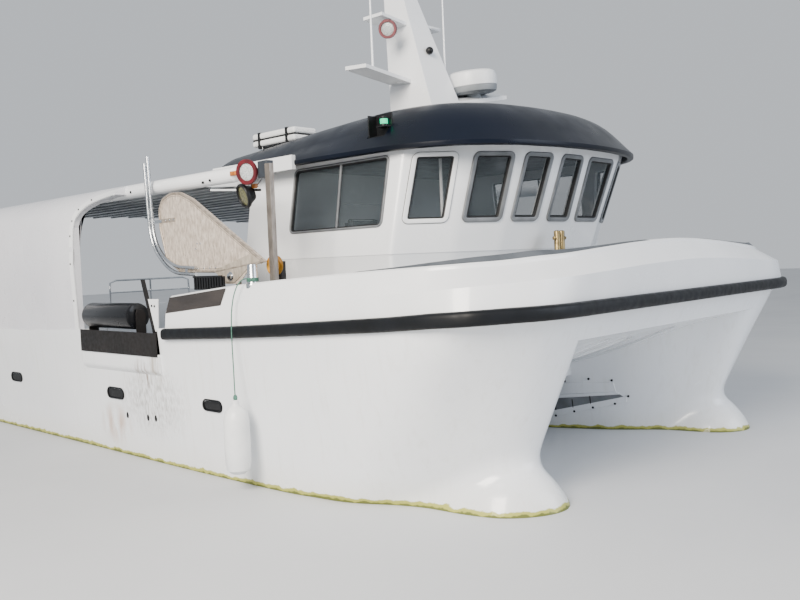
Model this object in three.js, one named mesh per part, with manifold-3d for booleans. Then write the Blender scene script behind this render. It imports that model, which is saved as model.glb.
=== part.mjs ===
// A 12 m catamaran fishing boat with bulbous bows, a forward wheelhouse and a sheltered working deck.
// Millimetres. X points to the bow, Y to port, Z up. The origin is on the waterline, midships, on the
// centreline. Starboard is -Y.

import * as THREE from 'three';
import { mergeVertices } from 'three/addons/utils/BufferGeometryUtils.js';
import Module from 'manifold-3d';

const wasm = await Module();
wasm.setup();

// Driving dimensions

const GAP = 0.3;               // left between touching pieces
const STERN = -5950;
const DECK = 600;              // working deck
const STEP = 3200;             // forward end of the deep working deck
const STEM_Y = 1662;           // each stem stands this far off the centreline
const STEM_TOP = 1600;
const DEMI_Y = 1670;           // centreline of one side hull
const SPLIT_Y = 600;           // side hulls and bridge deck meet here
const WALL = 50;               // wheelhouse wall
const HOUSE_AFT = 1920;
const SILL = 2205, HEAD = 2820;  // window bottoms and tops
const EAVE = 2850;
const SHAFT_Z = -720;

// Materials

const paint = {
  white: [0xe9eaec, 0.35, 0], navy: [0x1d3557, 0.3, 0], rubber: [0x16171a, 0.7, 0],
  grey: [0x8f9499, 0.5, 0], charcoal: [0x3a3c40, 0.6, 0], steel: [0xb9bcbf, 0.3, 1],
  alloy: [0xa9a49b, 0.55, 1], glass: [0x2b3236, 0.05, 0], bronze: [0xa8803c, 0.4, 1],
  black: [0x1c1c1e, 0.5, 0], red: [0xa5262b, 0.4, 0], green: [0x1f9c6b, 0.3, 0],
  yellow: [0xd9a032, 0.5, 0], seat: [0x2c2e33, 0.8, 0],
};
const material = (key) => {
  const [color, roughness, metalness] = paint[key];
  return new THREE.MeshStandardMaterial({ color, roughness, metalness });
};

// Solids

const solid = (geometry) => {
  const bare = geometry.clone();
  bare.deleteAttribute('normal');
  bare.deleteAttribute('uv');
  const merged = mergeVertices(bare, 1e-3);
  return new wasm.Manifold(new wasm.Mesh({
    numProp: 3,
    vertProperties: Float32Array.from(merged.attributes.position.array),
    triVerts: Uint32Array.from(merged.index.array),
  }));
};

const toGeometry = (manifold) => {
  const mesh = manifold.getMesh();
  const geometry = new THREE.BufferGeometry();
  geometry.setAttribute('position', new THREE.BufferAttribute(Float32Array.from(mesh.vertProperties), 3));
  geometry.setIndex(new THREE.BufferAttribute(Uint32Array.from(mesh.triVerts), 1));
  return geometry;
};

const join = (...pieces) => pieces.reduce((a, b) => a.add(b));
const cut = (body, ...tools) => tools.reduce((a, b) => a.subtract(b), body);

// Closed loft through rings of equal length, each ring a list of [x, y, z].
function loft(rings) {
  const n = rings[0].length;
  const position = rings.flat(2);
  const index = [];
  for (let r = 0; r + 1 < rings.length; r += 1) {
    for (let i = 0; i < n; i += 1) {
      const a = r * n + i, b = r * n + (i + 1) % n, c = a + n, d = b + n;
      index.push(a, b, d, a, d, c);
    }
  }
  for (const [first, flip] of [[0, true], [(rings.length - 1) * n, false]]) {
    const ring = rings[first / n];
    for (const [a, b, c] of capTriangles(ring)) {
      if (flip) index.push(first + a, first + c, first + b);
      else index.push(first + a, first + b, first + c);
    }
  }
  return outward(position, index);
}

function capTriangles(ring) {
  const normal = new THREE.Vector3();
  ring.forEach(([x, y, z], i) => {
    const [u, v, w] = ring[(i + 1) % ring.length];
    normal.add(new THREE.Vector3((y - v) * (z + w), (z - w) * (x + u), (x - u) * (y + v)));
  });
  const size = normal.toArray().map(Math.abs);
  const axis = size.indexOf(Math.max(...size));
  const [p, q] = [[1, 2], [2, 0], [0, 1]][axis];
  const flat = ring.map((point) => new THREE.Vector2(point[p], point[q]));
  const sign = Math.sign(normal.getComponent(axis));
  const faces = THREE.ShapeUtils.triangulateShape(flat, []);
  return faces.map(([a, b, c]) => {
    const area = (flat[b].x - flat[a].x) * (flat[c].y - flat[a].y)
      - (flat[c].x - flat[a].x) * (flat[b].y - flat[a].y);
    return Math.sign(area) === sign ? [a, b, c] : [a, c, b];
  });
}

function outward(position, index) {
  let volume = 0;
  const p = (i) => new THREE.Vector3().fromArray(position, i * 3);
  for (let i = 0; i < index.length; i += 3) {
    volume += p(index[i]).dot(p(index[i + 1]).cross(p(index[i + 2])));
  }
  if (volume < 0) {
    for (let i = 0; i < index.length; i += 3) [index[i], index[i + 1]] = [index[i + 1], index[i]];
  }
  const geometry = new THREE.BufferGeometry();
  geometry.setAttribute('position', new THREE.Float32BufferAttribute(position, 3));
  geometry.setIndex(index);
  return solid(geometry);
}

const box = (x0, x1, y0, y1, z0, z1) => solid(
  new THREE.BoxGeometry(x1 - x0, y1 - y0, z1 - z0)
    .translate((x0 + x1) / 2, (y0 + y1) / 2, (z0 + z1) / 2));

const extrude = (points, depth, basis) => solid(
  new THREE.ExtrudeGeometry(new THREE.Shape(points.map(([a, b]) => new THREE.Vector2(a, b))),
    { depth, bevelEnabled: false, steps: 1 }).applyMatrix4(basis));
const vector = (x, y, z) => new THREE.Vector3(x, y, z);
const along = {
  x: new THREE.Matrix4().makeBasis(vector(0, 1, 0), vector(0, 0, 1), vector(1, 0, 0)),
  y: new THREE.Matrix4().makeBasis(vector(1, 0, 0), vector(0, 0, 1), vector(0, -1, 0)),
  z: new THREE.Matrix4(),
};
const prismX = (yz, x0, x1) => extrude(yz, x1 - x0, along.x.clone().setPosition(x0, 0, 0));
const prismY = (xz, y0, y1) => extrude(xz, y1 - y0, along.y.clone().setPosition(0, y1, 0));
const prismZ = (xy, z0, z1) => extrude(xy, z1 - z0, along.z.clone().setPosition(0, 0, z0));

// Round bar or cone from one point to another.
function bar(from, to, radius, sides = 12, radiusTo = radius) {
  const a = vector(...from), b = vector(...to);
  const geometry = new THREE.CylinderGeometry(radiusTo, radius, a.distanceTo(b), sides);
  const turn = new THREE.Quaternion().setFromUnitVectors(vector(0, 1, 0), b.clone().sub(a).normalize());
  geometry.applyQuaternion(turn).translate(...a.add(b).multiplyScalar(0.5).toArray());
  return solid(geometry);
}

// Bent pipe through points, its corners rounded.
function pipe(points, radius, bend, sides = 8) {
  const path = new THREE.CurvePath();
  const p = points.map((q) => vector(...q));
  let last = p[0];
  for (let i = 1; i + 1 < p.length; i += 1) {
    const before = p[i].clone().add(p[i - 1].clone().sub(p[i]).setLength(bend));
    const after = p[i].clone().add(p[i + 1].clone().sub(p[i]).setLength(bend));
    path.add(new THREE.LineCurve3(last, before));
    path.add(new THREE.QuadraticBezierCurve3(before, p[i], after));
    last = after;
  }
  path.add(new THREE.LineCurve3(last, p[p.length - 1]));
  const section = new THREE.Shape();
  section.absarc(0, 0, radius, 0, Math.PI * 2);
  return solid(new THREE.ExtrudeGeometry(section, {
    steps: 6 * (points.length - 1), curveSegments: Math.ceil(sides / 2), bevelEnabled: false,
    extrudePath: path,
  }));
}

const lathe = (profile, at, sides = 32) => solid(
  new THREE.LatheGeometry(profile.map(([r, h]) => new THREE.Vector2(r, h)), sides)
    .rotateX(Math.PI / 2).translate(...at));

const boat = new THREE.Group();
const add = (name, manifold, key) => {
  const mesh = new THREE.Mesh(toGeometry(manifold), material(key));
  mesh.name = name;
  boat.add(mesh);
  return manifold;
};
const mirrored = (manifold) => {
  const mesh = manifold.getMesh();
  const position = Array.from(mesh.vertProperties, (v, i) => (i % 3 === 1 ? -v : v));
  return outward(position, Array.from(mesh.triVerts));
};
const blend = (a, b, t) => a.map((v, i) => v + (b[i] - v) * t);
// Height of a line given by [x, z] knots.
const lineAt = (knots, x) => {
  const i = Math.max(1, knots.findIndex(([knot]) => knot >= x));
  const [[x0, z0], [x1, z1]] = [knots[i - 1], knots[i]];
  return z0 + (z1 - z0) * (x - x0) / (x1 - x0);
};

// Deck edge

// Top of the belt fender and of the hull moulding: x, z.
const SHEER = [[-6000, 1250], [-1000, 1250], [2000, 1346], [3000, 1390], [4000, 1445], [4900, 1499],
  [5350, 1534], [5620, 1547], [5800, 1553], [6000, 1556]];

// Half perimeter from abreast the wheelhouse door round to the bow centre. Columns: belt fender face
// x, y; knuckle x, y, z; rail top x, y, z; how far the rail's inboard edge stands above its outer one.
const RIM = [
  [2000, 2805, 2000, 2735, 1500, 2000, 2680, 1648, 0],
  [3000, 2805, 3000, 2740, 1560, 3000, 2675, 1737, 0],
  [4000, 2805, 4000, 2735, 1610, 4000, 2670, 1796, 0],
  [4900, 2805, 4880, 2735, 1655, 4850, 2655, 1833, 12],
  [5350, 2800, 5300, 2715, 1680, 5200, 2600, 1846, 26],
  [5620, 2710, 5560, 2600, 1700, 5420, 2460, 1855, 37],
  [5800, 2470, 5740, 2370, 1715, 5580, 2240, 1863, 44],
  [5910, 2250, 5860, 2140, 1727, 5700, 1980, 1882, 44],
  [5965, 2020, 5920, 1900, 1737, 5760, 1720, 1897, 28],
  [5975, 1600, 5935, 1500, 1755, 5785, 1300, 1927, 15],
  [5975, 800, 5940, 800, 1787, 5800, 700, 1965, 8],
  [5975, 0, 5940, 0, 1805, 5800, 0, 1988, 0],
];
const rimSide = RIM.map(([fx, fy, kx, ky, kz, tx, ty, tz, bank]) => ({
  face: [fx, -fy, lineAt(SHEER, fx)], knuckle: [kx, -ky, kz], top: [tx, -ty, tz], bank,
}));
const flipY = ([x, y, z]) => [x, -y, z];
const rim = [...rimSide, ...rimSide.slice(0, -1).reverse().map(({ face, knuckle, top, bank }) => ({
  face: flipY(face), knuckle: flipY(knuckle), top: flipY(top), bank }))];
// Outward direction in plan at each perimeter station.
const outwardAt = (line) => line.map((point, i) => {
  const a = line[Math.max(0, i - 1)], b = line[Math.min(line.length - 1, i + 1)];
  const length = Math.hypot(b[0] - a[0], b[1] - a[1]);
  return [(b[1] - a[1]) / length, -(b[0] - a[0]) / length];
});
const shift = ([x, y, z], [nx, ny], d, dz = 0) => [x + nx * d, y + ny * d, z + dz];

// Hulls

// One side hull by waterlines: from the stem round the outside to the transom, then the tunnel side
// from the stem aft. Columns: x, y at the waterline, x, y at the top.
const OUTSIDE = [
  [5234, 1665, 5920, 1662], [5200, 1800, 5920, 1900], [5120, 1920, 5905, 2060], [5000, 2040, 5855, 2220],
  [4800, 2180, 5750, 2430], [4550, 2330, 5570, 2655], [4220, 2500, 5320, 2743], [3800, 2580, 4900, 2750],
  [3400, 2620, 4000, 2750], [2600, 2640, 3000, 2750], [0, 2640, 0, 2750], [-3200, 2620, -3200, 2750],
  [-5900, 2520, STERN, 2680],
];
const INSIDE = [
  [4900, 1300, 5580, 1320], [4490, 1004, 5170, 1000], [4200, 887, 4880, 860], [3840, 760, 4500, 720],
  [3200, 680, 3800, 620], [2000, 660, 2400, 600], [-1500, 660, -1500, 600], [-5900, 700, STERN, 640],
];
const demiRing = (z) => {
  const t = Math.max(0, z / STEM_TOP);
  const w = Math.min(1, (t / 0.85) ** 1.15);
  // below the waterline: breadth factor and how far the stem steps aft
  const [breadth, aft] = z >= 0 ? [1, 0]
    : { '-300': [0.88, 80], '-580': [0.62, 280], '-750': [0.16, 600] }[z];
  const point = ([x0, y0, x1, y1]) => {
    const run = Math.max(0, (-1500 - x0) / 4400) ** 1.3 * 0.62;
    return [x0 + (x1 - x0) * t - aft * (x0 + 5900) / 11100,
      DEMI_Y + (y0 + (y1 - y0) * w - DEMI_Y) * breadth, z < 0 ? z * (1 - run) : z];
  };
  return [...OUTSIDE.map(point), ...INSIDE.map(point).reverse()];
};
let sideHull = loft([-750, -580, -300, 0, 450, 950, 1360, STEM_TOP].map(demiRing));

// Bulbous bow by ellipses. Columns: x, centre y, centre z, half width, half height.
const BULB = [
  [4000, 1700, -330, 700, 280], [4500, 1730, -300, 650, 400], [4950, 1775, -265, 540, 540],
  [5190, 1780, -250, 475, 600], [5380, 1770, -250, 430, 555], [5520, 1755, -245, 345, 450],
  [5620, 1740, -240, 240, 330], [5680, 1730, -235, 130, 190], [5705, 1725, -235, 50, 80],
];
const ellipse = ([x, y, z, a, b], sides = 20) => Array.from({ length: sides }, (_, i) => {
  const angle = (i / sides) * Math.PI * 2;
  return [x, y + a * Math.cos(angle), z + b * Math.sin(angle)];
});
const bulb = loft(BULB.map((row) => ellipse(row)));
const skeg = prismY([[1700, -700], [900, -1050], [-4700, -1050], [-4760, -1000], [-4760, -380],
  [-3000, -560], [-500, -700]], DEMI_Y - 60, DEMI_Y + 60);
const boss = bar([-4300, DEMI_Y, SHAFT_Z], [-4790, DEMI_Y, SHAFT_Z], 75, 16, 65);
const SHAFT_R = 24, STOCK_R = 30;
// A 16-sided hole that clears a round pin by the gap.
const holeFor = (radius) => (radius + GAP) / Math.cos(Math.PI / 16) + 0.02;
const shaftBore = bar([-4600, DEMI_Y, SHAFT_Z], [-4900, DEMI_Y, SHAFT_Z], holeFor(SHAFT_R), 16);
const RUDDER_X = -5520;
const rudderBore = bar([RUDDER_X, DEMI_Y, -420], [RUDDER_X, DEMI_Y, -180], holeFor(STOCK_R), 16);
sideHull = cut(join(sideHull, bulb), rudderBore);
const keel = cut(join(skeg, boss), shaftBore, sideHull, sideHull.translate([0, 0, -GAP]));

// Bridge deck between the side hulls; its underside rises to the bow. Columns: x, z.
const TUNNEL = [[5775, 1258], [5380, 1143], [4900, 960], [4430, 812], [4050, 695], [3700, 600],
  [3200, 500], [2400, 440], [0, 400], [STERN, 400]];
const bridge = prismY([[STERN, STEM_TOP], [5920, STEM_TOP], ...TUNNEL], -STEM_Y - 30, STEM_Y + 30);
const belowSheer = prismY([...SHEER, [6000, -1200], [-6000, -1200]], -3000, 3000);
const HAUL = [300, 1850];      // hauling gap in the starboard side
const ENGINE_HATCH = { x0: -4700, x1: -3900, y: 1670, half: 380, deep: 45 };
const hatchPocket = (sign) => {
  const { x0, x1, y, half, deep } = ENGINE_HATCH;
  return box(x0, x1, sign * y - half, sign * y + half, DECK - deep, DECK + 10);
};
const well = join(hatchPocket(-1), hatchPocket(1),
  prismZ([[STERN + 130, -2500], [-3600, -2600], [0, -2620], [STEP, -2620],
    [STEP, 2620], [0, 2620], [-3600, 2600], [STERN + 130, 2500]], DECK, 3000),
  box(STERN - 50, STERN + 200, -750, 750, DECK, 3000),
  box(...HAUL, -2800, -2400, 1088, 3000));
// Lugs on the port quarter that carry the stern gate's knuckles.
const GATE = { x: -5962, y: 752, lugs: [700, 1100], knuckle: 9 };
const lugs = GATE.lugs.map((z) => join(box(GATE.x - 13, GATE.x + 12, GATE.y - 12, GATE.y + 33, z - 10, z),
  box(GATE.x - 13, GATE.x + 37, GATE.y + 8, GATE.y + 33, z - 10, z)));
// Moulded ledge under the hauling gap, which the gap plate and the roller's cradle stand on.
const LEDGE = 2752;
const ledge = prismX([[-LEDGE, 1088], [-LEDGE, 925], [-2738, 890], [-2690, 860], [-2690, 1088]],
  HAUL[0] + 5, HAUL[1]);
const hull = join(cut(join(sideHull, mirrored(sideHull), bridge).intersect(belowSheer), well), ledge, ...lugs,
  box(-600, 0, -1500, -1100, DECK - 1, DECK + 12));
const HUGE = 9000;
add('hull_starboard', hull.intersect(box(-HUGE, HUGE, -HUGE, -SPLIT_Y, -HUGE, HUGE)), 'white');
add('hull_port', hull.intersect(box(-HUGE, HUGE, SPLIT_Y, HUGE, -HUGE, HUGE)), 'white');
add('keel_port', keel, 'white');
add('keel_starboard', mirrored(keel), 'white');
add('bridge_deck', hull.intersect(box(-HUGE, HUGE, -SPLIT_Y + GAP, SPLIT_Y - GAP, -HUGE, HUGE)), 'white');

// Everything below the foredeck's surface, for gear that stands on it.
const underDeck = prismY([...SHEER.map(([x, z]) => [x, z + GAP]), [6000, 0], [-6000, 0]], -3000, 3000);

// Belt fender: a D section along the deck edge.
const BELT_HIGH = 107;
const faceOut = outwardAt(rim.map(({ face }) => face));
add('belt_fender', loft(rim.map(({ face }, i) => [
  shift(face, faceOut[i], -55 + GAP, 0), shift(face, faceOut[i], -18, 0), shift(face, faceOut[i], 0, -28),
  shift(face, faceOut[i], 0, -78), shift(face, faceOut[i], -18, -BELT_HIGH),
  shift(face, faceOut[i], -55 + GAP, -BELT_HIGH),
])).subtract(hull), 'rubber');

// Bulwark on the deck edge, in three lengths.
const RAIL_WIDE = 90;
const bulwarkRing = ({ face, knuckle, top, bank }, i) => {
  const n = faceOut[i];
  const base = shift(face, n, -55);
  return [[base[0], base[1], base[2] + GAP], knuckle, shift(top, n, 0, -25), shift(top, n, -20),
    shift(top, n, -RAIL_WIDE, bank), shift(top, n, -RAIL_WIDE - 10, -60),
    shift([base[0], base[1], base[2] + GAP], n, -120)];
};
const rings = rim.map(bulwarkRing);
const bulwark = loft(rings);
const BOW_FROM = 5000;
add('bulwark_starboard', bulwark.intersect(box(-HUGE, BOW_FROM - GAP, -HUGE, 0, -HUGE, HUGE)), 'white');
add('bulwark_bow', bulwark.intersect(box(BOW_FROM, HUGE, -HUGE, HUGE, -HUGE, HUGE)), 'white');
// Port side has no hauling gap: its bulwark runs on to the shelter.
const portAft = cut(prismX([[2750, 1240], [2735, 1500], [2680, 1648], [2590, 1648], [2580, 1588],
  [2630, 1240]], 220 + GAP, 2001), belowSheer, belowSheer.translate([0, 0, GAP]));
add('bulwark_port', bulwark.intersect(box(-HUGE, BOW_FROM - GAP, 0, HUGE, -HUGE, HUGE)).add(portAft),
  'white');

// Shelter and canopy

const SHELTER = [-3600, 220];
const ROOF_Z = 2740;
const shelterSection = [[2735, 1250 + GAP], [2735, 2400], [2705, 2560], [2610, 2690], [2480, 2775],
  [2390, 2800], [2390, 2690], [2445, 2690], [2550, 2625], [2640, 2530], [2670, 2400], [2670, 1250 + GAP]];
// The section runs on forward as a web that rounds the opening's upper corner.
const WEB = [[220, 2380], [250, 2450], [330, 2530], [460, 2610], [650, 2660], [900, 2695]];
const railTube = (radius) => join(bar([240, -2400, 2728], [2760, -2400, 2728], radius, 20),
  bar([2759, -2400, 2728], [2850, -2400, 2728], radius, 20, 22));
const shelterWall = cut(prismX(shelterSection.map(([y, z]) => [-y, z]), SHELTER[0], WEB[5][0]), belowSheer,
  prismY([...WEB, [1000, 2695], [1000, 1000], [220, 1000]], -3000, -2000), railTube(70 + 2 * GAP));
add('shelter_side_starboard', shelterWall, 'white');
add('shelter_side_port', mirrored(shelterWall), 'white');
const EDGE_Y = 2390 - GAP;
const camber = (z) => [[-EDGE_Y, z], [-1300, z + 55], [0, z + 80], [1300, z + 55], [EDGE_Y, z]];

// Roof rail tube on each side, with a coned forward end.
// A white beam on each side runs forward along the brow.
const rail = railTube(70);
const beam = join(box(1500, 2800, -1786, -1741, 2800, 2935),
  box(1500, 1900, -1786, -1741, 2760, 2801));
add('canopy_roof', join(prismX([...camber(ROOF_Z), ...camber(ROOF_Z - 55).reverse()],
  SHELTER[0], HOUSE_AFT - 5), rail, mirrored(rail), beam, mirrored(beam)), 'white');

// Wheelhouse

// Corners of the house at the window heads, from aft starboard round the bow, and how far each moves
// for a metre of height downwards. The sides stand upright below the styling line, the front corners
// below the foot line. Columns: x, y, dx, dy, lowest height it moves at.
const STYLE_LINE = 1950, FOOT_LINE = 1400;
const HOUSE = [
  [HOUSE_AFT, -1590, 0, -164, STYLE_LINE], [4050, -1590, -66, -164, STYLE_LINE],
  [4425, -1150, -188.5, -59, FOOT_LINE], [4675, -692, -311.5, -44, FOOT_LINE],
  [4775, -245, -352, -21, FOOT_LINE], [4775, 245, -352, 21, FOOT_LINE], [4750, 870, -410, 24, FOOT_LINE],
  [4530, 1320, -390, 0, FOOT_LINE], [4050, 1590, -66, 164, STYLE_LINE], [HOUSE_AFT, 1590, 0, 164, STYLE_LINE],
];
const houseCorners = (z) => HOUSE.map(([x, y, dx, dy, lowest]) => {
  const drop = (HEAD - Math.max(z, lowest)) / 1000;
  return [x + dx * drop, y + dy * drop, z];
});
// Convex outline moved inwards, its last edge (the aft one) by its own amount.
function inset(ring, amount, aftAmount = amount) {
  const n = ring.length;
  const edges = ring.map(([x, y], i) => {
    const [u, v] = ring[(i + 1) % n];
    const length = Math.hypot(u - x, v - y);
    const normal = [-(v - y) / length, (u - x) / length];
    const d = i === n - 1 ? aftAmount : amount;
    return { normal, offset: normal[0] * x + normal[1] * y + d };
  });
  return ring.map((point, i) => {
    const a = edges[(i + n - 1) % n], b = edges[i];
    const det = a.normal[0] * b.normal[1] - a.normal[1] * b.normal[0];
    return [(a.offset * b.normal[1] - b.offset * a.normal[1]) / det,
      (a.normal[0] * b.offset - b.normal[0] * a.offset) / det, point[2]];
  });
}
const SOFFIT = 2895;
const houseLevels = [DECK + GAP, FOOT_LINE, STYLE_LINE, SILL, HEAD, SOFFIT - GAP];
const houseOuter = loft(houseLevels.map(houseCorners));
const innerAt = (amount, aft) => loft([DECK - 100, FOOT_LINE, STYLE_LINE, SILL, HEAD, SOFFIT + 100].map(
  (z) => inset(houseCorners(z), amount, aft)));
const foredeckBlock = prismY([[STEP - GAP, 300], [STEP - GAP, lineAt(SHEER, STEP) + GAP],
  ...SHEER.filter(([x]) => x > STEP).map(([x, z]) => [x, z + GAP]), [6000, 300]], -2000, 2000);
const houseShell = cut(houseOuter, innerAt(WALL, -300), foredeckBlock);

// Window openings. Columns: facet, start and end along it (0 to 1), bottom, top.
const FRAME = 38;
const front = [[1, 0.166, 0.875], [2, 0.117, 0.89], [3, 0.10, 0.87], [4, 0.122, 0.878],
  [5, 0.075, 0.87], [6, 0.13, 0.87], [7, 0.16, 0.84]].map((row) => [...row, SILL, HEAD]);
const sideRun = 4050 - HOUSE_AFT;
const sides = [[0, (2615 - HOUSE_AFT) / sideRun, (3913 - HOUSE_AFT) / sideRun, 2190, 2820],
  [8, 1 - (3913 - HOUSE_AFT) / sideRun, 1 - (2615 - HOUSE_AFT) / sideRun, 2190, 2820]];
function windowSolid([facet, u0, u1, z0, z1], margin, outer, inner, round = 25) {
  const at = (u, z) => {
    const ring = houseCorners(z);
    return vector(...blend(ring[facet], ring[facet + 1], u));
  };
  const wide = at(0, z1).distanceTo(at(1, z1));
  const m = margin / wide, r = round;
  const loop = [];
  for (const [cu, cz, from] of [[u1 - m, z1 - margin, 0], [u0 + m, z1 - margin, 90],
    [u0 + m, z0 + margin, 180], [u1 - m, z0 + margin, 270]]) {
    for (let k = 0; k <= 3; k += 1) {
      const angle = THREE.MathUtils.degToRad(from + k * 30);
      const sx = from === 0 || from === 270 ? 1 : -1, sz = from < 180 ? 1 : -1;
      loop.push(at(cu + (-sx * r + Math.cos(angle) * r) / wide, cz - sz * r + Math.sin(angle) * r));
    }
  }
  const normal = at(u1, z0).sub(at(u0, z0)).cross(at(u0, z1).sub(at(u0, z0))).normalize();
  const ring = (d) => loop.map((p) => p.clone().addScaledVector(normal, d).toArray());
  return loft([ring(outer), ring(inner)]);
}
const openings = [...front, ...sides].map((row) => windowSolid(row, FRAME, 60, -160));
const house = cut(houseShell, ...openings);
const CORNER_X = 3990;
add('wheelhouse_side_starboard', house.intersect(box(-HUGE, CORNER_X - GAP, -HUGE, 0, -HUGE, HUGE)), 'white');
add('wheelhouse_side_port', house.intersect(box(-HUGE, CORNER_X - GAP, 0, HUGE, -HUGE, HUGE)), 'white');
add('wheelhouse_front', house.intersect(box(CORNER_X, HUGE, -HUGE, HUGE, -HUGE, HUGE)), 'white');
add('windscreen_glass', cut(innerAt(WALL + GAP, 0), innerAt(WALL + 8, -100))
  .intersect(box(CORNER_X + 60, HUGE, -HUGE, HUGE, SILL - 25, HEAD + 25)), 'glass');
['starboard', 'port'].forEach((side, i) => add(`side_pane_${side}`,
  windowSolid(sides[i], FRAME + 0.5, -14, -22), 'glass'));

// Aft wall with its door opening; the door leaf swings aft on its starboard edge.
const DOOR = { y0: -350, y1: 350, z0: 760, z1: 2560, pin: [1908, -352], knuckles: [900, 1640, 2380] };
const knuckle = (z) => bar([...DOOR.pin, z + GAP], [...DOOR.pin, z + 40], 9, 12);
const aftWall = cut(innerAt(WALL + GAP, 0).intersect(
  box(HOUSE_AFT, HOUSE_AFT + 50, -HUGE, HUGE, DECK + GAP, SOFFIT - GAP)),
box(0, HUGE, DOOR.y0, DOOR.y1, DOOR.z0, DOOR.z1));
add('wheelhouse_aft_wall', join(aftWall, ...DOOR.knuckles.flatMap((z) => [knuckle(z - 40),
  box(1900, HOUSE_AFT + 1, DOOR.pin[1] - 28, DOOR.pin[1], z - 40 + GAP, z)])), 'white');
const aftDoor = join(box(HOUSE_AFT, HOUSE_AFT + 40, DOOR.y0 + 6, DOOR.y1 - 6, DOOR.z0 + 6, DOOR.z1 - 6),
  bar([HOUSE_AFT + 1, 270, 1600], [HOUSE_AFT - 50, 270, 1600], 12, 10),
  bar([HOUSE_AFT - 45, 282, 1600], [HOUSE_AFT - 45, 150, 1600], 10, 10),
  ...DOOR.knuckles.flatMap((z) => [knuckle(z),
    box(1900, 1912, DOOR.pin[1], DOOR.pin[1] + 50, z + GAP, z + 40),
    box(1900, HOUSE_AFT + 1, DOOR.pin[1] + 9, DOOR.pin[1] + 50, z + GAP, z + 40)]));
add('aft_door', aftDoor, 'white');

// Roof with its overhanging brow: half outline at the lip, then levels of height and inset.
const BROW = [[1100, 1690], [3500, 1740], [4050, 1690], [4400, 1560], [4660, 1330], [4850, 1000],
  [4960, 560], [5000, 180]];
const browRing = (z) => [...BROW.map(([x, y]) => [x, -y, z]),
  ...BROW.slice().reverse().map(([x, y]) => [x, y, z])];
const BROW_LEVELS = [[2835, 25, 25], [EAVE, 0, 0], [2880, 0, 0], [3190, 320, 30], [3260, 450, 60],
  [3300, 700, 250]];
const ROOF_TOP = 3300;
// Abaft the mast the roof falls away aft.
const fall = ([x, y, z]) => [x, y, z > 3000 ? z - 0.062 * Math.max(0, 3550 - x) : z];
const ROOF_PAD = { x0: 3620, x1: 3860, y0: -620, y1: -380, high: 15 };
const SIDELIGHT = { x0: 3668, x1: 3933, y: 1500, z0: 2985, z1: 3235 };
const recess = (sign) => box(SIDELIGHT.x0, SIDELIGHT.x1,
  ...[sign * SIDELIGHT.y, sign * 1900].sort((a, b) => a - b), SIDELIGHT.z0, 3400);
const roof = cut(join(loft(BROW_LEVELS.map(([z, d, aft]) => inset(browRing(z), d, aft).map(fall))),
  box(ROOF_PAD.x0, ROOF_PAD.x1, ROOF_PAD.y0, ROOF_PAD.y1, ROOF_TOP - 5, ROOF_TOP + ROOF_PAD.high)),
loft([inset(browRing(2700), 60), inset(browRing(SOFFIT), 60)]), recess(-1), recess(1));
add('wheelhouse_roof', roof, 'navy');

// Helm console under the windscreen, and the helm seat.
add('helm_console', innerAt(WALL + GAP, 100).intersect(
  prismY([[3700, 1480], [3700, 1900], [3860, 2110], [5000, 2150], [5000, 1510]], -1400, 1400))
  .subtract(foredeckBlock), 'grey');
const SEAT = [2880, -780];
add('helm_seat_base', join(
  bar([...SEAT, DECK + GAP], [...SEAT, 620], 240, 24), bar([...SEAT, 615], [...SEAT, 1640], 60, 16),
  box(SEAT[0] - 230, SEAT[0] + 200, SEAT[1] - 210, SEAT[1] + 210, 1620, 1650),
  box(SEAT[0] - 262, SEAT[0] - 232, SEAT[1] - 190, SEAT[1] + 190, 1622, 2300),
  box(SEAT[0] - 262, SEAT[0] - 225, SEAT[1] - 190, SEAT[1] + 190, 1622, 1650)), 'charcoal');
add('helm_seat_cushion', box(SEAT[0] - 220, SEAT[0] + 230, SEAT[1] - 225, SEAT[1] + 225, 1650 + GAP, 1755),
  'seat');
add('helm_seat_back', box(SEAT[0] - 232 + GAP, SEAT[0] - 140, SEAT[1] - 215, SEAT[1] + 215, 1765, 2350),
  'seat');

// Mast

const MAST_FOOT = 3210;
const mastRing = (z) => {
  const t = (z - ROOF_TOP) / 1900;
  const x0 = 2670 - 245 * t, x1 = 3310 - 710 * t, w = 275 - 205 * t, y = 20;
  return [[x0, y - w, z], [x1, y - w, z], [x1, y + w, z], [x0, y + w, z]];
};
// Wings of the mast. Columns: root y, x0, x1, top z aft, top z forward; the same at the tip; thickness.
const WINGS = [
  [-90, 2640, 2925, 3825, 3806, -940, 2700, 3000, 3893, 3870, 38],
  [90, 2740, 3180, 3650, 3560, 1000, 3045, 3304, 3800, 3715, 42],
  [-60, 2560, 2840, 4440, 4440, -520, 2570, 2850, 4492, 4490, 34],
  [60, 2560, 2860, 4470, 4466, 430, 2640, 2837, 4480, 4475, 36],
];
const wings = WINGS.map(([y0, a0, a1, p0, p1, y1, b0, b1, q0, q1, thick]) => loft([
  [[a0, y0, p0 - thick], [a1, y0, p1 - thick], [a1, y0, p1], [a0, y0, p0]],
  [[b0, y1, q0 - thick], [b1, y1, q1 - thick], [b1, y1, q1], [b0, y1, q0]]]));
add('mast', join(cut(loft([mastRing(MAST_FOOT), mastRing(5200)]), roof, roof.translate([0, 0, GAP])),
  ...wings,
  bar([2960, -800, 3850], [2960, -800, 5350], 13, 8, 6), bar([2965, 330, 3620], [2965, 330, 5350], 13, 8, 6),
  bar([2510, 20, 5190], [2510, 20, 5300], 22, 10), bar([2510, 20, 5290], [2510, 20, 5400], 45, 16)), 'white');
const RADAR = { at: [3130, 607, 3712], lean: 6 };
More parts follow.
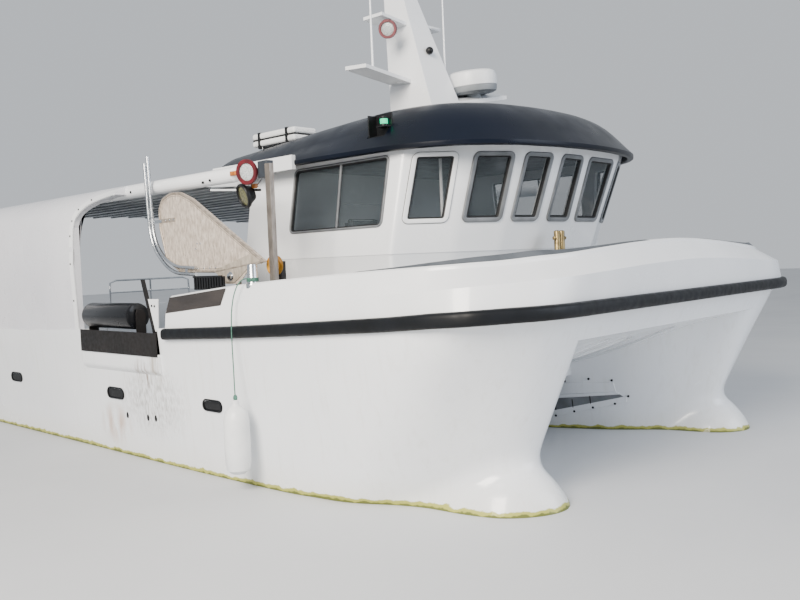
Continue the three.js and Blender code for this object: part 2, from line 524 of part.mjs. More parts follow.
add('radar_dome', join(lathe([[0, -30], [150, -30], [150, 5], [248, 5], [272, 22], [277, 60], [277, 185],
  [264, 226], [200, 252], [0, 260]], [0, 0, 0], 40)).rotate([RADAR.lean, 0, 0]).translate(RADAR.at).subtract(
  join(wings[1], wings[1].translate([0, 0, GAP]), wings[1].translate([-GAP, 0, 0]))), 'white');

const light = (at, aim, radius, depth) => {
  const direction = vector(...aim).normalize().multiplyScalar(depth);
  const front = vector(...at).add(direction);
  return join(bar(at, front.toArray(), radius * 0.55, 20, radius),
    bar(front.clone().addScaledVector(direction, -0.12).toArray(),
      front.clone().addScaledVector(direction, 0.3).toArray(), radius * 1.12, 20));
};
add('mast_flood_light', join(light([2815, -370, 4340], [0.45, -0.85, -0.2], 88, 90),
  bar([2815, -370, 4340], [2815, -370, 4460], 14, 8)).subtract(wings[2]).subtract(
  wings[2].translate([0, 0, -GAP])), 'red');
const CANISTER = { x0: 1280, x1: 2020, y0: -1090, y1: -760, top: 3375, high: 150 };
const canisterFoot = CANISTER.top - CANISTER.high;
const cradle = (x) => box(x, x + 60, CANISTER.y0 + 20, CANISTER.y1 - 20, 3000, canisterFoot + 10);
add('liferaft_canister', join(cut(join(cradle(1380), cradle(1860)), roof, roof.translate([0, 0, GAP])),
  box(CANISTER.x0, CANISTER.x1, CANISTER.y0, CANISTER.y1, canisterFoot, CANISTER.top)), 'white');
// Each sidelight is a black lined recess in the brow with its lamp on a shelf.
for (const [side, sign, key] of [['starboard', -1, 'green'], ['port', 1, 'red']]) {
  const { x0, x1, y, z0, z1 } = SIDELIGHT;
  const slab = (a0, a1, from, to, b0, b1) => box(
    a0, a1, ...[sign * (y + from), sign * (y + to)].sort((a, b) => a - b), b0, b1);
  add(`sidelight_${side}`, join(slab(x0 + GAP, x1 - GAP, GAP, 14, z0 + GAP, z1),
    slab(x0 + GAP, x0 + 14, 10, 110, z0 + GAP, z1), slab(x0 + GAP, x1 - GAP, 10, 105, z0 + GAP, z0 + 14),
    slab(x0 + 90, x0 + 210, 10, 100, 3072, 3084),
    bar([x0 + 152, sign * (y + 60), 3080], [x0 + 152, sign * (y + 60), 3160], 38, 16)), key);
}

// Deck gear, starboard

const LAMP_POST = [3362, -2500];
const poleOf = (more) => join(box(LAMP_POST[0] - 31 - more, LAMP_POST[0] + 31 + more,
  LAMP_POST[1] - 23 - more, LAMP_POST[1] + 23 + more, 1380, 2755),
bar([LAMP_POST[0], LAMP_POST[1], 2715], [2862 - more, -2420, 2728], 18 + more, 12));
const onPole = (lamp) => lamp.subtract(poleOf(GAP));
add('light_pole', join(poleOf(0), box(3224, 3345, -2512, -2440, 2645, 2785)).subtract(underDeck), 'steel');
add('deck_light_forward', onPole(join(light([3112, -2490, 2710], [0.28, -0.95, -0.1], 98, 70),
  bar([3112, -2500, 2710], [3105, -2455, 2722], 20, 12))), 'red');
add('deck_light_aft', onPole(join(light([3036, -2440, 2536], [-0.2, -0.9, -0.3], 98, 80),
  bar([3036, -2441, 2530], [3036, -2441, 2722], 11, 8))), 'black');

// Landing arm beside the hauling gap: plate, flange, pivot boss and two bent tubes.
const ARM = { x: 2735, y: -2480, z: 1812 };
const ARM_PLATE = [[1578, 2300], [1580, 2500], [1650, 2595], [1800, 2640], [1950, 2635], [2160, 2555],
  [3230, 1930], [3040, 1905], [2850, 1745], [2640, 1745], [2500, 1850], [1910, 1865], [1680, 1980]];
const flangeOuter = ARM_PLATE.filter(([x]) => x !== 2850 && x !== 2640);
const flangeInner = flangeOuter.map(([x, z]) => [2300 + (x - 2300) * 0.975, 2150 + (z - 2150) * 0.965]);
const plate = join(prismY(ARM_PLATE, ARM.y - 14, ARM.y - 6),
  cut(prismY(flangeOuter, ARM.y - 13, ARM.y + 22), prismY(flangeInner, ARM.y - 60, ARM.y + 100)));
const TUBE_Y = ARM.y - 30;
const tubes = [0, 62].map((d) => pipe([[1378 + d, TUBE_Y, 2965 + d], [1425 + d, TUBE_Y, 2150],
  [1760 + d / 2, TUBE_Y, 1862 + d], [2200, TUBE_Y, 1842 + d]], 17, 170, 8));
const pin = (y0, y1, radius, sides = 16) => bar([ARM.x, ARM.y + y0, ARM.z], [ARM.x, ARM.y + y1, ARM.z],
  radius, sides);
const strap = (x0, x1, y0, y1, z0, z1) => box(x0, x1, ARM.y + y0, ARM.y + y1, z0, z1);
add('landing_arm', cut(join(plate, ...tubes, strap(1450, 1640, -28, -8, 2360, 2390),
  strap(1390, 1480, -36, -24, 2640, 2670), strap(2020, 2060, -34, -8, 1850, 1910), pin(-50, 50, 34)),
pin(-200, 200, holeFor(15))), 'alloy');
const cheek = [[ARM.x - 70, 1500], [ARM.x + 70, 1500], [ARM.x + 30, 1840], [ARM.x - 30, 1840]];
add('arm_bracket', join(pin(-70, 70, 15), prismY(cheek, ARM.y - 70, ARM.y - 60),
  prismY(cheek, ARM.y + 60, ARM.y + 70), strap(ARM.x - 70, ARM.x + 70, -70, 70, 1500, 1512),
  strap(ARM.x - 45, ARM.x + 45, -45, 45, DECK + GAP, 1501)), 'steel');

// Hauling roller in the gap, on two end plates that stand on the sill; a strut braces the forward one.
const ROLL = { x0: 430, x1: 1370, y: -2668, z: 1445, r: 132 };
add('hauling_roller', join(bar([ROLL.x0, ROLL.y, ROLL.z], [ROLL.x1, ROLL.y, ROLL.z], ROLL.r, 32),
  bar([ROLL.x0 - 6, ROLL.y, ROLL.z], [ROLL.x1 + 6, ROLL.y, ROLL.z], 40, 16)).subtract(
  bar([ROLL.x0 - 20, ROLL.y, ROLL.z], [ROLL.x1 + 20, ROLL.y, ROLL.z], holeFor(16), 16)), 'rubber');
const endPlate = (x) => prismX([[-2706, 1089], [-2600, 1089], [-2600, 1470], [-2640, 1515],
  [-2690, 1515], [-2706, 1470]], x, x + 14);
add('roller_cradle', join(endPlate(ROLL.x0 - 30), endPlate(ROLL.x1 + 16),
  bar([ROLL.x0 - 30, ROLL.y, ROLL.z], [ROLL.x1 + 30, ROLL.y, ROLL.z], 16, 16),
  box(ROLL.x0 - 30, ROLL.x1 + 30, -2706, -2620, 1088 + GAP, 1100),
  prismY([[1520, 1810], [1590, 1810], [1842, 1089], [1770, 1089]], -2706, -2696),
  box(ROLL.x1 + 10, 1840, -2706, -2640, 1088 + GAP, 1100)), 'steel');
add('gap_plate', box(HAUL[0] + 5, HAUL[1] - 5, -LEDGE - 12, -LEDGE - GAP, 1066, 1296), 'charcoal');

// Pot hauler: a sheave that faces outboard on a stand.
const SHEAVE = [3228, -2385, 1896];
const spindle = (y0, y1, radius) => bar([SHEAVE[0], SHEAVE[1] + y0, SHEAVE[2]],
  [SHEAVE[0], SHEAVE[1] + y1, SHEAVE[2]], radius, 16);
const grooved = lathe([[0, -32], [84, -32], [84, -26], [54, -8], [54, 8], [84, 26], [84, 32], [0, 32]],
  [0, 0, 0], 32).rotate([90, 0, 0]).translate(SHEAVE);
add('hauler_sheave', cut(grooved, spindle(-90, 90, holeFor(16))), 'yellow');
add('hauler_stand', join(spindle(-38, 95, 16),
  box(SHEAVE[0] - 60, SHEAVE[0] + 60, -2346, -2290, 1380, 1936)).subtract(underDeck), 'charcoal');

const BOLLARD_X = 3228, BOLLARD_FOOT = 1742;
add('bollard_starboard', join(bar([BOLLARD_X, -2628, BOLLARD_FOOT], [BOLLARD_X, -2628, 1915], 44, 24),
  bar([BOLLARD_X, -2628, BOLLARD_FOOT - 1], [BOLLARD_X, -2628, 1765], 42, 24)).subtract(bulwark)
  .subtract(bulwark.translate([0, 0, GAP])), 'steel');
add('bollard_port', join(bar([BOLLARD_X, 2628, BOLLARD_FOOT], [BOLLARD_X, 2628, 1915], 44, 24),
  bar([BOLLARD_X, 2628, BOLLARD_FOOT - 1], [BOLLARD_X, 2628, 1765], 42, 24)).subtract(bulwark)
  .subtract(bulwark.translate([0, 0, GAP])), 'steel');
const BITT = [4690, -160];
const bittFoot = lineAt(SHEER, BITT[0]);
add('bow_bitts', join(bar([BITT[0], BITT[1] - 38, bittFoot], [BITT[0], BITT[1] - 38, 2110], 27, 16),
  bar([BITT[0], BITT[1] + 38, bittFoot], [BITT[0], BITT[1] + 38, 2110], 27, 16),
  bar([BITT[0], BITT[1] - 95, 2040], [BITT[0], BITT[1] + 95, 2040], 14, 12),
  box(BITT[0] - 90, BITT[0] + 90, BITT[1] - 120, BITT[1] + 120, bittFoot - 30, bittFoot + 16))
  .subtract(underDeck), 'steel');

// Stern, hatches

for (const [side, sign] of [['starboard', -1], ['port', 1]]) {
  const x = -5885;
  add(`stern_rail_${side}`, join(pipe([[x, sign * 850, 1250 + GAP], [x, sign * 850, 1730],
    [x, sign * 2560, 1730], [x, sign * 2560, 1250 + GAP]], 19, 90),
  bar([x, sign * 1700, 1250 + GAP], [x, sign * 1700, 1730], 19, 10),
  bar([x, sign * 850, 1500], [x, sign * 2560, 1500], 14, 8)), 'steel');
}
const GATE_X = -5925;
add('stern_gate', join(box(GATE_X, GATE_X + 40, -744, 744, DECK + 12, 1235),
  box(GATE_X - 20, GATE_X + 1, -744, -600, 1100, 1130),
  ...GATE.lugs.flatMap((z) => [box(GATE.x - 4, GATE.x + 10, 560, GATE.y, z + GAP, z + 40),
    box(GATE.x - 4, GATE_X + 1, 560, GATE.y - 14, z + GAP, z + 40),
    bar([GATE.x, GATE.y, z + GAP], [GATE.x, GATE.y, z + 40], GATE.knuckle, 12)])), 'white');

const HATCH = { x: 5180, z: lineAt(SHEER, 5180) };
const coaming = cut(box(4920, 5460, -270, 270, 1400, 1600), box(4960, 5420, -230, 230, 1300, 1700),
  underDeck);
add('foredeck_hatch_coaming', coaming, 'white');
add('foredeck_hatch', join(box(4910, 5470, -280, 280, 1600 + GAP, 1640),
  box(4960, 5420, -228, 228, 1639, 1652)), 'grey');

// Hatches over the engines, flush in the working deck.
for (const [side, sign] of [['starboard', -1], ['port', 1]]) {
  const { x0, x1, y, half, deep } = ENGINE_HATCH;
  add(`engine_hatch_${side}`, box(x0 + 6, x1 - 6, sign * y - half + 6, sign * y + half - 6,
    DECK - deep + GAP, DECK), 'grey');
}

// Propellers and rudders

const PROP_X = -4960;
const BLADES = 4;
for (const [side, sign] of [['starboard', -1], ['port', 1]]) {
  const y = sign * DEMI_Y;
  const blades = Array.from({ length: BLADES }, (_, i) => {
    const blade = new THREE.SphereGeometry(1, 10, 7).scale(9, 92, 150).translate(0, 0, 165)
      .rotateZ(sign * THREE.MathUtils.degToRad(52)).rotateX((i / BLADES) * Math.PI * 2)
      .translate(PROP_X, y, SHAFT_Z);
    return solid(blade);
  });
  add(`propeller_${side}`, join(bar([PROP_X + 80, y, SHAFT_Z], [PROP_X - 60, y, SHAFT_Z], 58, 24, 50),
    bar([PROP_X - 59, y, SHAFT_Z], [PROP_X - 130, y, SHAFT_Z], 50, 24, 12),
    bar([PROP_X + 79, y, SHAFT_Z], [-4610, y, SHAFT_Z], SHAFT_R, 16), ...blades), 'bronze');
  const foil = [[0.32, 0], [0.30, 0.07], [0.18, 0.105], [0, 0.11], [-0.25, 0.085], [-0.5, 0.045],
    [-0.68, 0.012]];
  const chord = 400;
  const outline = [...foil.map(([a, b]) => [RUDDER_X + a * chord, y + b * chord]),
    ...foil.slice(1).reverse().map(([a, b]) => [RUDDER_X + a * chord, y - b * chord])];
  add(`rudder_${side}`, join(prismZ(outline, -1040, -430),
    bar([RUDDER_X, y, -440], [RUDDER_X, y, -190], STOCK_R, 16)), 'bronze');
}

export default boat;
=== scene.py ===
# %% [markdown]
# # A catamaran fishing boat
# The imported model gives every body, hinge and size. This lesson dresses it: smooth skins over the
# faceted solids, real finishes, and the small fittings that a plain model leaves out. Everything is
# in metres: X to the bow, Y to port, Z up, with the waterline at Z = 0.

# %% Load the frame
import math
import bpy
import numpy as np
from mathutils import Matrix, Vector


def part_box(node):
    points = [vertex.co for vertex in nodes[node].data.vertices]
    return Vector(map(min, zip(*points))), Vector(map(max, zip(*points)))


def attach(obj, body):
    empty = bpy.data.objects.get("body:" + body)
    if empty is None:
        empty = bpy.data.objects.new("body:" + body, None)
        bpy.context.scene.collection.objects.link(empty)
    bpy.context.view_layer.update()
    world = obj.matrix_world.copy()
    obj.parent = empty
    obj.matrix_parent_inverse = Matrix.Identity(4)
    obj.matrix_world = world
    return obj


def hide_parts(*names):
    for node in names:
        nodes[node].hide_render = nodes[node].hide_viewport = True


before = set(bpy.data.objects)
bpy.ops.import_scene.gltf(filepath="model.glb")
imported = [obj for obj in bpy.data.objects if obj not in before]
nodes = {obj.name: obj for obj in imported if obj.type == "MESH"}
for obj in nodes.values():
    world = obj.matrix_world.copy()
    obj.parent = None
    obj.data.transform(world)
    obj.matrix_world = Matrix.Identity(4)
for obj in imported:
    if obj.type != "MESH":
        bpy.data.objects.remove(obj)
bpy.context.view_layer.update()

# %% [markdown]
# ## The camera
# The view is from off the starboard bow, 1.9 m above the water, through a slightly wide lens. A camera
# can be turned by angles, but three directions are easier to read: its right, down and forward in the
# boat's axes. They are the columns of its turn, two of them reversed, because a Blender camera has its
# own Y up and looks along its own -Z.

# %% Place the camera
CAMERA_AT = (9.0806, -6.9886, 1.9)
RIGHT = np.array((0.72585, 0.68659, -0.04171))
DOWN = np.array((0.00243, -0.06319, -0.99800))
FORWARD = np.array((-0.68785, 0.72429, -0.04754))
LENS_MM, SENSOR_MM, SIGHT = 38.17, 36.0, 200.0
camera_data = bpy.data.cameras.new("camera")
camera_data.lens, camera_data.sensor_width, camera_data.clip_end = LENS_MM, SENSOR_MM, SIGHT
camera = bpy.data.objects.new("camera", camera_data)
turn = Matrix(np.column_stack((RIGHT, -DOWN, -FORWARD)).tolist())
camera.matrix_world = Matrix.Translation(CAMERA_AT) @ turn.to_4x4()
bpy.context.scene.collection.objects.link(camera)
bpy.context.scene.camera = camera
print("camera at", CAMERA_AT, "with a", LENS_MM, "mm lens")

# %% [markdown]
# ## Shader tools
# A shader tree is a graph of nodes. One helper adds any node with its settings and links, so each
# finish below reads as a short recipe. Colours are written as the hex values a painter would quote.

# %% Colours and nodes
def linear(hex_code):
    """The linear colour a shader socket takes, from an sRGB hex value."""
    value = np.array([int(hex_code[i:i + 2], 16) for i in (0, 2, 4)]) / 255
    value = np.where(value <= 0.04045, value / 12.92, ((value + 0.055) / 1.055) ** 2.4)
    return (*value.tolist(), 1.0)


def add(tree, kind, sockets, **settings):
    """Adds one shader node and returns its first output. A socket takes a value or another output."""
    made = tree.nodes.new("ShaderNode" + kind)
    for name, value in settings.items():
        setattr(made, name, value)
    for name, value in sockets.items():
        if isinstance(value, bpy.types.NodeSocket):
            tree.links.new(value, made.inputs[name])
        else:
            made.inputs[name].default_value = value
    return made.outputs[0]


# %% [markdown]
# ## A finish
# Paint, gelcoat, rubber and metal all vary a little: the colour drifts in patches, the gloss is
# uneven where hands and water have been, and a fine grain breaks up the highlight. One recipe makes
# that base for every material, with each pattern's size in real millimetres.

# %% The base recipe
# Noise gathers round 0.5, so a pattern runs from one end to the other between values near it.
PATCH_RANGE, WORN_RANGE = (0.35, 0.65), (0.3, 0.7)
WORN_SIZE = 0.23                  # the gloss varies in smaller blotches than the colour does


def speckle(tree, size_mm, detail=3.0, stretch=(1, 1, 1)):
    """Noise whose blotches are about size_mm across, read in object space."""
    place = tree.nodes.get("place") or tree.nodes.new("ShaderNodeTexCoord")
    place.name = "place"
    scale = tuple(1000.0 / size_mm * s for s in stretch)
    mapped = add(tree, "Mapping", {"Vector": place.outputs["Object"], "Scale": scale})
    return add(tree, "TexNoise", {"Vector": mapped, "Scale": 1.0, "Detail": detail})


def spread(tree, value, start, end, low=0.0, high=1.0):
    """Maps value from start..end to low..high, held at both ends."""
    return add(tree, "MapRange", {"Value": value, "From Min": start, "From Max": end,
                                  "To Min": low, "To Max": high})


def finish(name, light, dark, rough, patch_mm=400, grain_mm=2.0, depth_mm=0.02, stretch=(1, 1, 1),
           **constants):
    """Colour from dark to light in patches, roughness between rough's two values, and a fine bump."""
    made = bpy.data.materials.new(name)
    made.use_nodes = True
    tree = made.node_tree
    shader = tree.nodes["Principled BSDF"]
    for socket, value in constants.items():
        shader.inputs[socket.replace("_", " ")].default_value = value
    patches = speckle(tree, patch_mm, 4.0, stretch)
    colour = add(tree, "MixRGB", {"Fac": spread(tree, patches, *PATCH_RANGE),
                                  "Color1": linear(dark), "Color2": linear(light)})
    tree.links.new(colour, shader.inputs["Base Color"])
    worn = speckle(tree, patch_mm * WORN_SIZE, 5.0, stretch)
    tree.links.new(spread(tree, worn, *WORN_RANGE, *rough), shader.inputs["Roughness"])
    bump = add(tree, "Bump", {"Height": speckle(tree, grain_mm, 2.0, stretch), "Strength": 1.0,
                              "Distance": depth_mm * 0.001})
    tree.links.new(bump, shader.inputs["Normal"])
    print("finish:", name)
    return made


# %% Layers over a finish
def over(made, mask, colour, rough=None):
    """Lays a colour, and if given a roughness, over a finish where the mask is one."""
    tree = made.node_tree
    shader = tree.nodes["Principled BSDF"]
    for socket, top in (("Base Color", linear(colour)), ("Roughness", rough)):
        if top is None:
            continue
        under = shader.inputs[socket].links[0].from_socket
        if socket == "Roughness":
            top = (top, top, top, 1.0)
        mixed = add(tree, "MixRGB", {"Fac": mask, "Color1": under, "Color2": top})
        tree.links.new(mixed, shader.inputs[socket])


def height_of(made):
    """The object-space height of each point, in metres above the waterline."""
    tree = made.node_tree
    return add(tree, "SeparateXYZ", {"Vector": tree.nodes["place"].outputs["Object"]}).node.outputs["Z"]


# %% [markdown]
# ## Gelcoat
# Gelcoat is a polyester resin sprayed into a polished mould: white, glossy and very slightly wavy. The
# real waves are finer than the picture can show, so the bump is drawn at 60 to 90 mm. A thin clear coat
# over a rougher base gives the two highlights of a waxed hull.

# %% White gelcoat
white_gelcoat = finish("white_gelcoat", "f2f4f6", "e6e9ec", (0.16, 0.30), 1400, 60, 0.06,
                       Coat_Weight=0.25, Coat_Roughness=0.08, IOR=1.5)
hull_gelcoat = finish("hull_gelcoat", "f1f4f7", "e7eaee", (0.14, 0.28), 1700, 90, 0.10,
                      Coat_Weight=0.3, Coat_Roughness=0.07, IOR=1.5)

# %% [markdown]
# After some seasons the hull is faintly streaked, yellowed near the water and edged with weed. Weed
# needs light, so it thins out with depth. A height with a little noise added gives the ragged line,
# and each band is laid over the last where that height is low enough.

# %% Streaks and the weed line
tree = hull_gelcoat.node_tree
runs = spread(tree, speckle(tree, 55, 4.0, (1, 1, 0.035)), 0.55, 0.78, 0.0, 0.16)
over(hull_gelcoat, runs, "b9b4a6", 0.42)
RAGGED = 0.07                     # the noise adds up to this many metres to the height
rise = add(tree, "Math", {0: speckle(tree, 90, 6.0), 1: RAGGED, 2: height_of(hull_gelcoat)},
           operation="MULTIPLY_ADD")
over(hull_gelcoat, spread(tree, rise, 0.30, 0.03, 0.0, 0.30), "d8d5c3", 0.4)
daylight = spread(tree, height_of(hull_gelcoat), -0.35, -0.04, 0.2, 1.0)
# Columns: where the band begins and where it is full, in height with noise; colour, roughness.
WEED = [(0.080, 0.070, "a9a94f", 0.6), (0.054, 0.046, "5f6526", 0.7)]
for begins, full, colour, rough in WEED:
    weed = add(tree, "Math", {0: spread(tree, rise, begins, full), 1: daylight}, operation="MULTIPLY")
    over(hull_gelcoat, weed, colour, rough)
print("weed reaches about", round(WEED[0][0] - RAGGED / 2, 3), "m above the water")


# %% Stains on the starboard side
def stain(made, centre, half, colour, strength, streak_mm=40, stretch=(1, 1, 0.08)):
    """Dirt that fades out over half (metres each way) from centre and is broken up into streaks."""
    tree = made.node_tree
    place = tree.nodes["place"].outputs["Object"]
    scale = tuple(1 / h for h in half)
    near = add(tree, "Mapping", {"Vector": place, "Scale": scale,
                                 "Location": tuple(-c * k for c, k in zip(centre, scale))})
    away = add(tree, "VectorMath", {0: near}, operation="LENGTH").node.outputs["Value"]
    streaks = spread(tree, speckle(tree, streak_mm, 4.0, stretch), 0.42, 0.62)
    over(made, add(tree, "Math", {0: spread(tree, away, 1.0, 0.5, 0.0, strength), 1: streaks},
                   operation="MULTIPLY"), colour, 0.5)


# Rusty runs under the hauling gap's ledge, a grey haze where pots scrape, a stain at the overflow, and
# dirt at the gap's forward end.
stain(hull_gelcoat, (1.5, -2.79, 0.86), (0.16, 0.3, 0.2), "6e4b2b", 0.9)
stain(hull_gelcoat, (1.6, -2.79, 0.6), (0.75, 0.3, 0.45), "77736a", 0.5, 26, (1, 1, 0.4))
stain(hull_gelcoat, (0.8, -2.79, 0.3), (0.4, 0.3, 0.28), "b0825c", 0.6, 120, (1, 1, 0.3))
stain(hull_gelcoat, (1.75, -2.79, 1.0), (0.12, 0.3, 0.35), "8a7859", 0.6)
print("hull gelcoat:", len(hull_gelcoat.node_tree.nodes), "nodes")

# %% [markdown]
# Navy gelcoat is the same resin, but dark, so every reflection would show in it. The real one has
# dulled outdoors, and a low IOR keeps its reflections faint.

# %% Navy gelcoat
navy_gelcoat = finish("navy_gelcoat", "080f1d", "050a14", (0.26, 0.38), 900, 70, 0.08, IOR=1.3)

# %% [markdown]
# ## Rubber and plastic
# Moulded rubber is matt and holds only a soft wide highlight; gaskets are a softer, duller rubber.
# Moulded plastic is smoother, so its highlight is smaller. White polyethylene and ABS stay almost even
# in colour, and amber cable glands are nylon that the sun has faded. Lenses are clear coloured acrylic
# that glow a little of themselves, because no lamp is built inside them.

# %% Rubbers, plastics, vinyl and lenses
black_rubber = finish("black_rubber", "0c0f14", "07090c", (0.42, 0.6), 260, 8, 0.05, IOR=1.34)
gasket_rubber = finish("gasket_rubber", "1b1c1e", "101112", (0.5, 0.7), 120, 2, 0.04, IOR=1.52)
black_plastic = finish("black_plastic", "0d0e11", "07080a", (0.35, 0.5), 150, 4, 0.04, IOR=1.42)
amber_plastic = finish("amber_plastic", "c77a2c", "9c5a1c", (0.35, 0.5), 60, 2, 0.03, IOR=1.5)
white_plastic = finish("white_plastic", "eef0f1", "dfe2e4", (0.28, 0.42), 300, 3, 0.03, IOR=1.5)
vinyl = finish("seat_vinyl", "2f3238", "212329", (0.45, 0.6), 120, 1.6, 0.15, IOR=1.5)
green_lens = finish("green_lens", "1fb184", "128a64", (0.1, 0.2), 60, 5, 0.05, IOR=1.5,
                    Emission_Color=linear("19d79b"), Emission_Strength=1.6)
red_lens = finish("red_lens", "c4302c", "9c211e", (0.1, 0.2), 60, 5, 0.05, IOR=1.5,
                  Emission_Color=linear("e0241f"), Emission_Strength=1.2)

# %% [markdown]
# ## Metals
# Polished stainless tube is bright, with a fine brushed grain. Aluminium plate left bare weathers to a
# mottled warm grey with dark flecks of salt pitting, and a galvanised post is greyer and duller. Window
# frames are anodised, so even and satin. Brass fittings go brown, and manganese bronze, which
# propellers are cast from, stays golden under water. Where oxide hides most of the metal, Metallic is
# less than one.

# %% Steel, aluminium, brass and bronze
stainless = finish("stainless_steel", "d3d6d9", "b9bdc1", (0.16, 0.3), 160, 6, 0.01, Metallic=1.0)
weathered_alloy = finish("weathered_aluminium", "ddd0c2", "b3a596", (0.45, 0.65), 26, 5, 0.08,
                         (1, 1, 0.35), Metallic=0.35)
tree = weathered_alloy.node_tree
flecks = spread(tree, speckle(tree, 13, 4.0, (1, 1, 0.4)), 0.60, 0.70, 0.0, 0.7)
over(weathered_alloy, flecks, "75695b")
pole_alloy = finish("galvanised_post", "9c9389", "6f675f", (0.35, 0.55), 60, 6, 0.05, (1, 1, 0.3),
                    Metallic=0.8)
brass = finish("old_brass", "97855c", "6e5f40", (0.3, 0.5), 50, 5, 0.04, Metallic=0.8)
frame_alloy = finish("anodised_frame", "808386", "6a6d70", (0.4, 0.55), 200, 5, 0.01, Metallic=0.25)
bronze = finish("manganese_bronze", "b08b4a", "7d5f2e", (0.3, 0.5), 120, 5, 0.05, Metallic=1.0)

# %% [markdown]
# ## Glass, paint and deck
# Tinted glass lets the dark cabin show through, and it is so flat that its reflections stay sharp.
# Charcoal sheet is painted steel and enamel is brushed on, so both are uneven in gloss. Non-slip deck
# is gelcoat with a grit in it: 4 mm is coarser than the real grit, so that it shows.

# %% Glass, paint and deck finishes
tinted_glass = finish("tinted_glass", "566065", "485156", (0.02, 0.04), 500, 400, 0.02, IOR=1.5,
                      Alpha=0.22)
charcoal_steel = finish("charcoal_sheet", "211d1c", "151312", (0.4, 0.65), 180, 6, 0.1, Metallic=0.4)
non_slip = finish("non_slip_deck", "aeb2b5", "a3a7ab", (0.65, 0.85), 900, 4, 0.6, IOR=1.5)
cabin_grey = finish("cabin_lining", "8d9296", "7b8084", (0.45, 0.6), 300, 3, 0.1, IOR=1.5)
yellow_paint = finish("ochre_paint", "d39a31", "a87420", (0.35, 0.6), 90, 5, 0.12, IOR=1.5)
red_paint = finish("red_paint", "650f1a", "4a0b13", (0.3, 0.5), 80, 4, 0.06, IOR=1.5)

# %% [markdown]
# ## Mesh tools
# Every new piece is a surface worked out as an array: rings of points, each ring joined to the next.
# A smooth curve through the rows of a table turns a few measured stations into a fair line, as a
# loftsman's batten does on the mould floor.

# %% A fair curve
MM = 0.001


def flow(rows, each):
    """A fair curve through the rows of a table, each span cut into equal steps.

    Between two rows it is a cubic whose slope at a row is the mean of the two chords there,
    weighted towards the shorter one."""
    rows = np.asarray(rows, float)
    step = np.linalg.norm(np.diff(rows, axis=0), axis=1)[:, None]
    chord = np.diff(rows, axis=0) / step
    slope = np.vstack((chord[:1], (chord[:-1] * step[1:] + chord[1:] * step[:-1])
                       / (step[1:] + step[:-1]), chord[-1:]))
    t = np.linspace(0, 1, each, endpoint=False)[None, :, None]
    a, b = rows[:-1, None], rows[1:, None]
    u, v = (slope[:-1] * step)[:, None], (slope[1:] * step)[:, None]
    curve = ((2 * t**3 - 3 * t**2 + 1) * a + (t**3 - 2 * t**2 + t) * u
             + (3 * t**2 - 2 * t**3) * b + (t**3 - t**2) * v)
    return np.vstack((curve.reshape(-1, rows.shape[1]), rows[-1:]))


# %% Closed shells
def shell(rings, joined=False):
    """Points and faces of a closed surface: each point meets its neighbour on the ring and on the
    next ring. The end rings are filled, or joined to each other."""
    rings = np.asarray(rings, float)
    count, around = rings.shape[:2]
    rows = np.arange(count if joined else count - 1)[:, None] * around
    i = np.arange(around)[None, :]
    after = (rows + around) % (count * around)
    nxt = (i + 1) % around
    quads = np.stack((rows + i, rows + nxt, after + nxt, after + i), axis=-1).reshape(-1, 4)
    points = rings.reshape(-1, 3)
    faces = quads.tolist()
    if not joined:
        faces += [list(range(around))[::-1], list(range((count - 1) * around, count * around))]
    a, b, c, d = (points[quads[:, k]] for k in range(4))
    volume = (np.einsum("ij,ij->i", a, np.cross(b, c)) + np.einsum("ij,ij->i", a, np.cross(c, d))).sum()
    if not joined:
        for face in faces[-2:]:
            p = points[face]
            volume += np.einsum("j,ij->i", p[0], np.cross(p[1:-1], p[2:])).sum()
    return points, faces if volume > 0 else [face[::-1] for face in faces]


def merged(*parts):
    """Several shells as one mesh."""
    points, faces, base = [], [], 0
    for part_points, part_faces in parts:
        points.append(part_points)
        faces += [[i + base for i in face] for face in part_faces]
        base += len(part_points)
    return np.vstack(points), faces


# %% [markdown]
# A surface becomes a piece when it has a mesh, a finish and a body to ride on. Openings and joins are
# cut with closed surfaces, because a boolean keeps the shell closed.

# %% Pieces and cuts
def piece(name, surface, material, body="hull", crease=35, stands_for=(), bevel=0.0):
    """Puts a surface into the scene as a finished piece that rides on a body."""
    points, faces = surface
    mesh = bpy.data.meshes.new(name)
    mesh.from_pydata(points.tolist(), [], faces)
    mesh.polygons.foreach_set("use_smooth", np.ones(len(mesh.polygons), bool))
    mesh.set_sharp_from_angle(angle=math.radians(crease))
    made = bpy.data.objects.new(name, mesh)
    bpy.context.scene.collection.objects.link(made)
    mesh.materials.append(material)
    if bevel:
        edge = made.modifiers.new("eased edges", "BEVEL")
        edge.width, edge.segments, edge.limit_method = bevel, 3, "ANGLE"
        edge.angle_limit = math.radians(crease)
        edge.harden_normals = True
    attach(made, body)
    if stands_for:
        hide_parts(*stands_for)
    print(f"{name}: {len(points)} points on {body}")
    return made


def carve(target, surface, operation="DIFFERENCE"):
    """Cuts or joins a closed surface into a piece and keeps the result as its mesh."""
    mesh = bpy.data.meshes.new("cutter")
    mesh.from_pydata(surface[0].tolist(), [], surface[1])
    cutter = bpy.data.objects.new("cutter", mesh)
    bpy.context.scene.collection.objects.link(cutter)
    change = target.modifiers.new("carve", "BOOLEAN")
    change.object, change.operation, change.solver = cutter, operation, "EXACT"
    bpy.context.view_layer.update()
    ready = target.evaluated_get(bpy.context.evaluated_depsgraph_get())
    old, target.data = target.data, bpy.data.meshes.new_from_object(ready)
    target.modifiers.remove(change)
    target.data.name = target.name
    bpy.data.meshes.remove(old)
    bpy.data.objects.remove(cutter)
    bpy.data.meshes.remove(mesh)


# %% [markdown]
# Most fittings are one of a few simple forms: a profile turned about an axis, a bar bent along a path,
# a domed bolt, or a flat outline with a thickness.

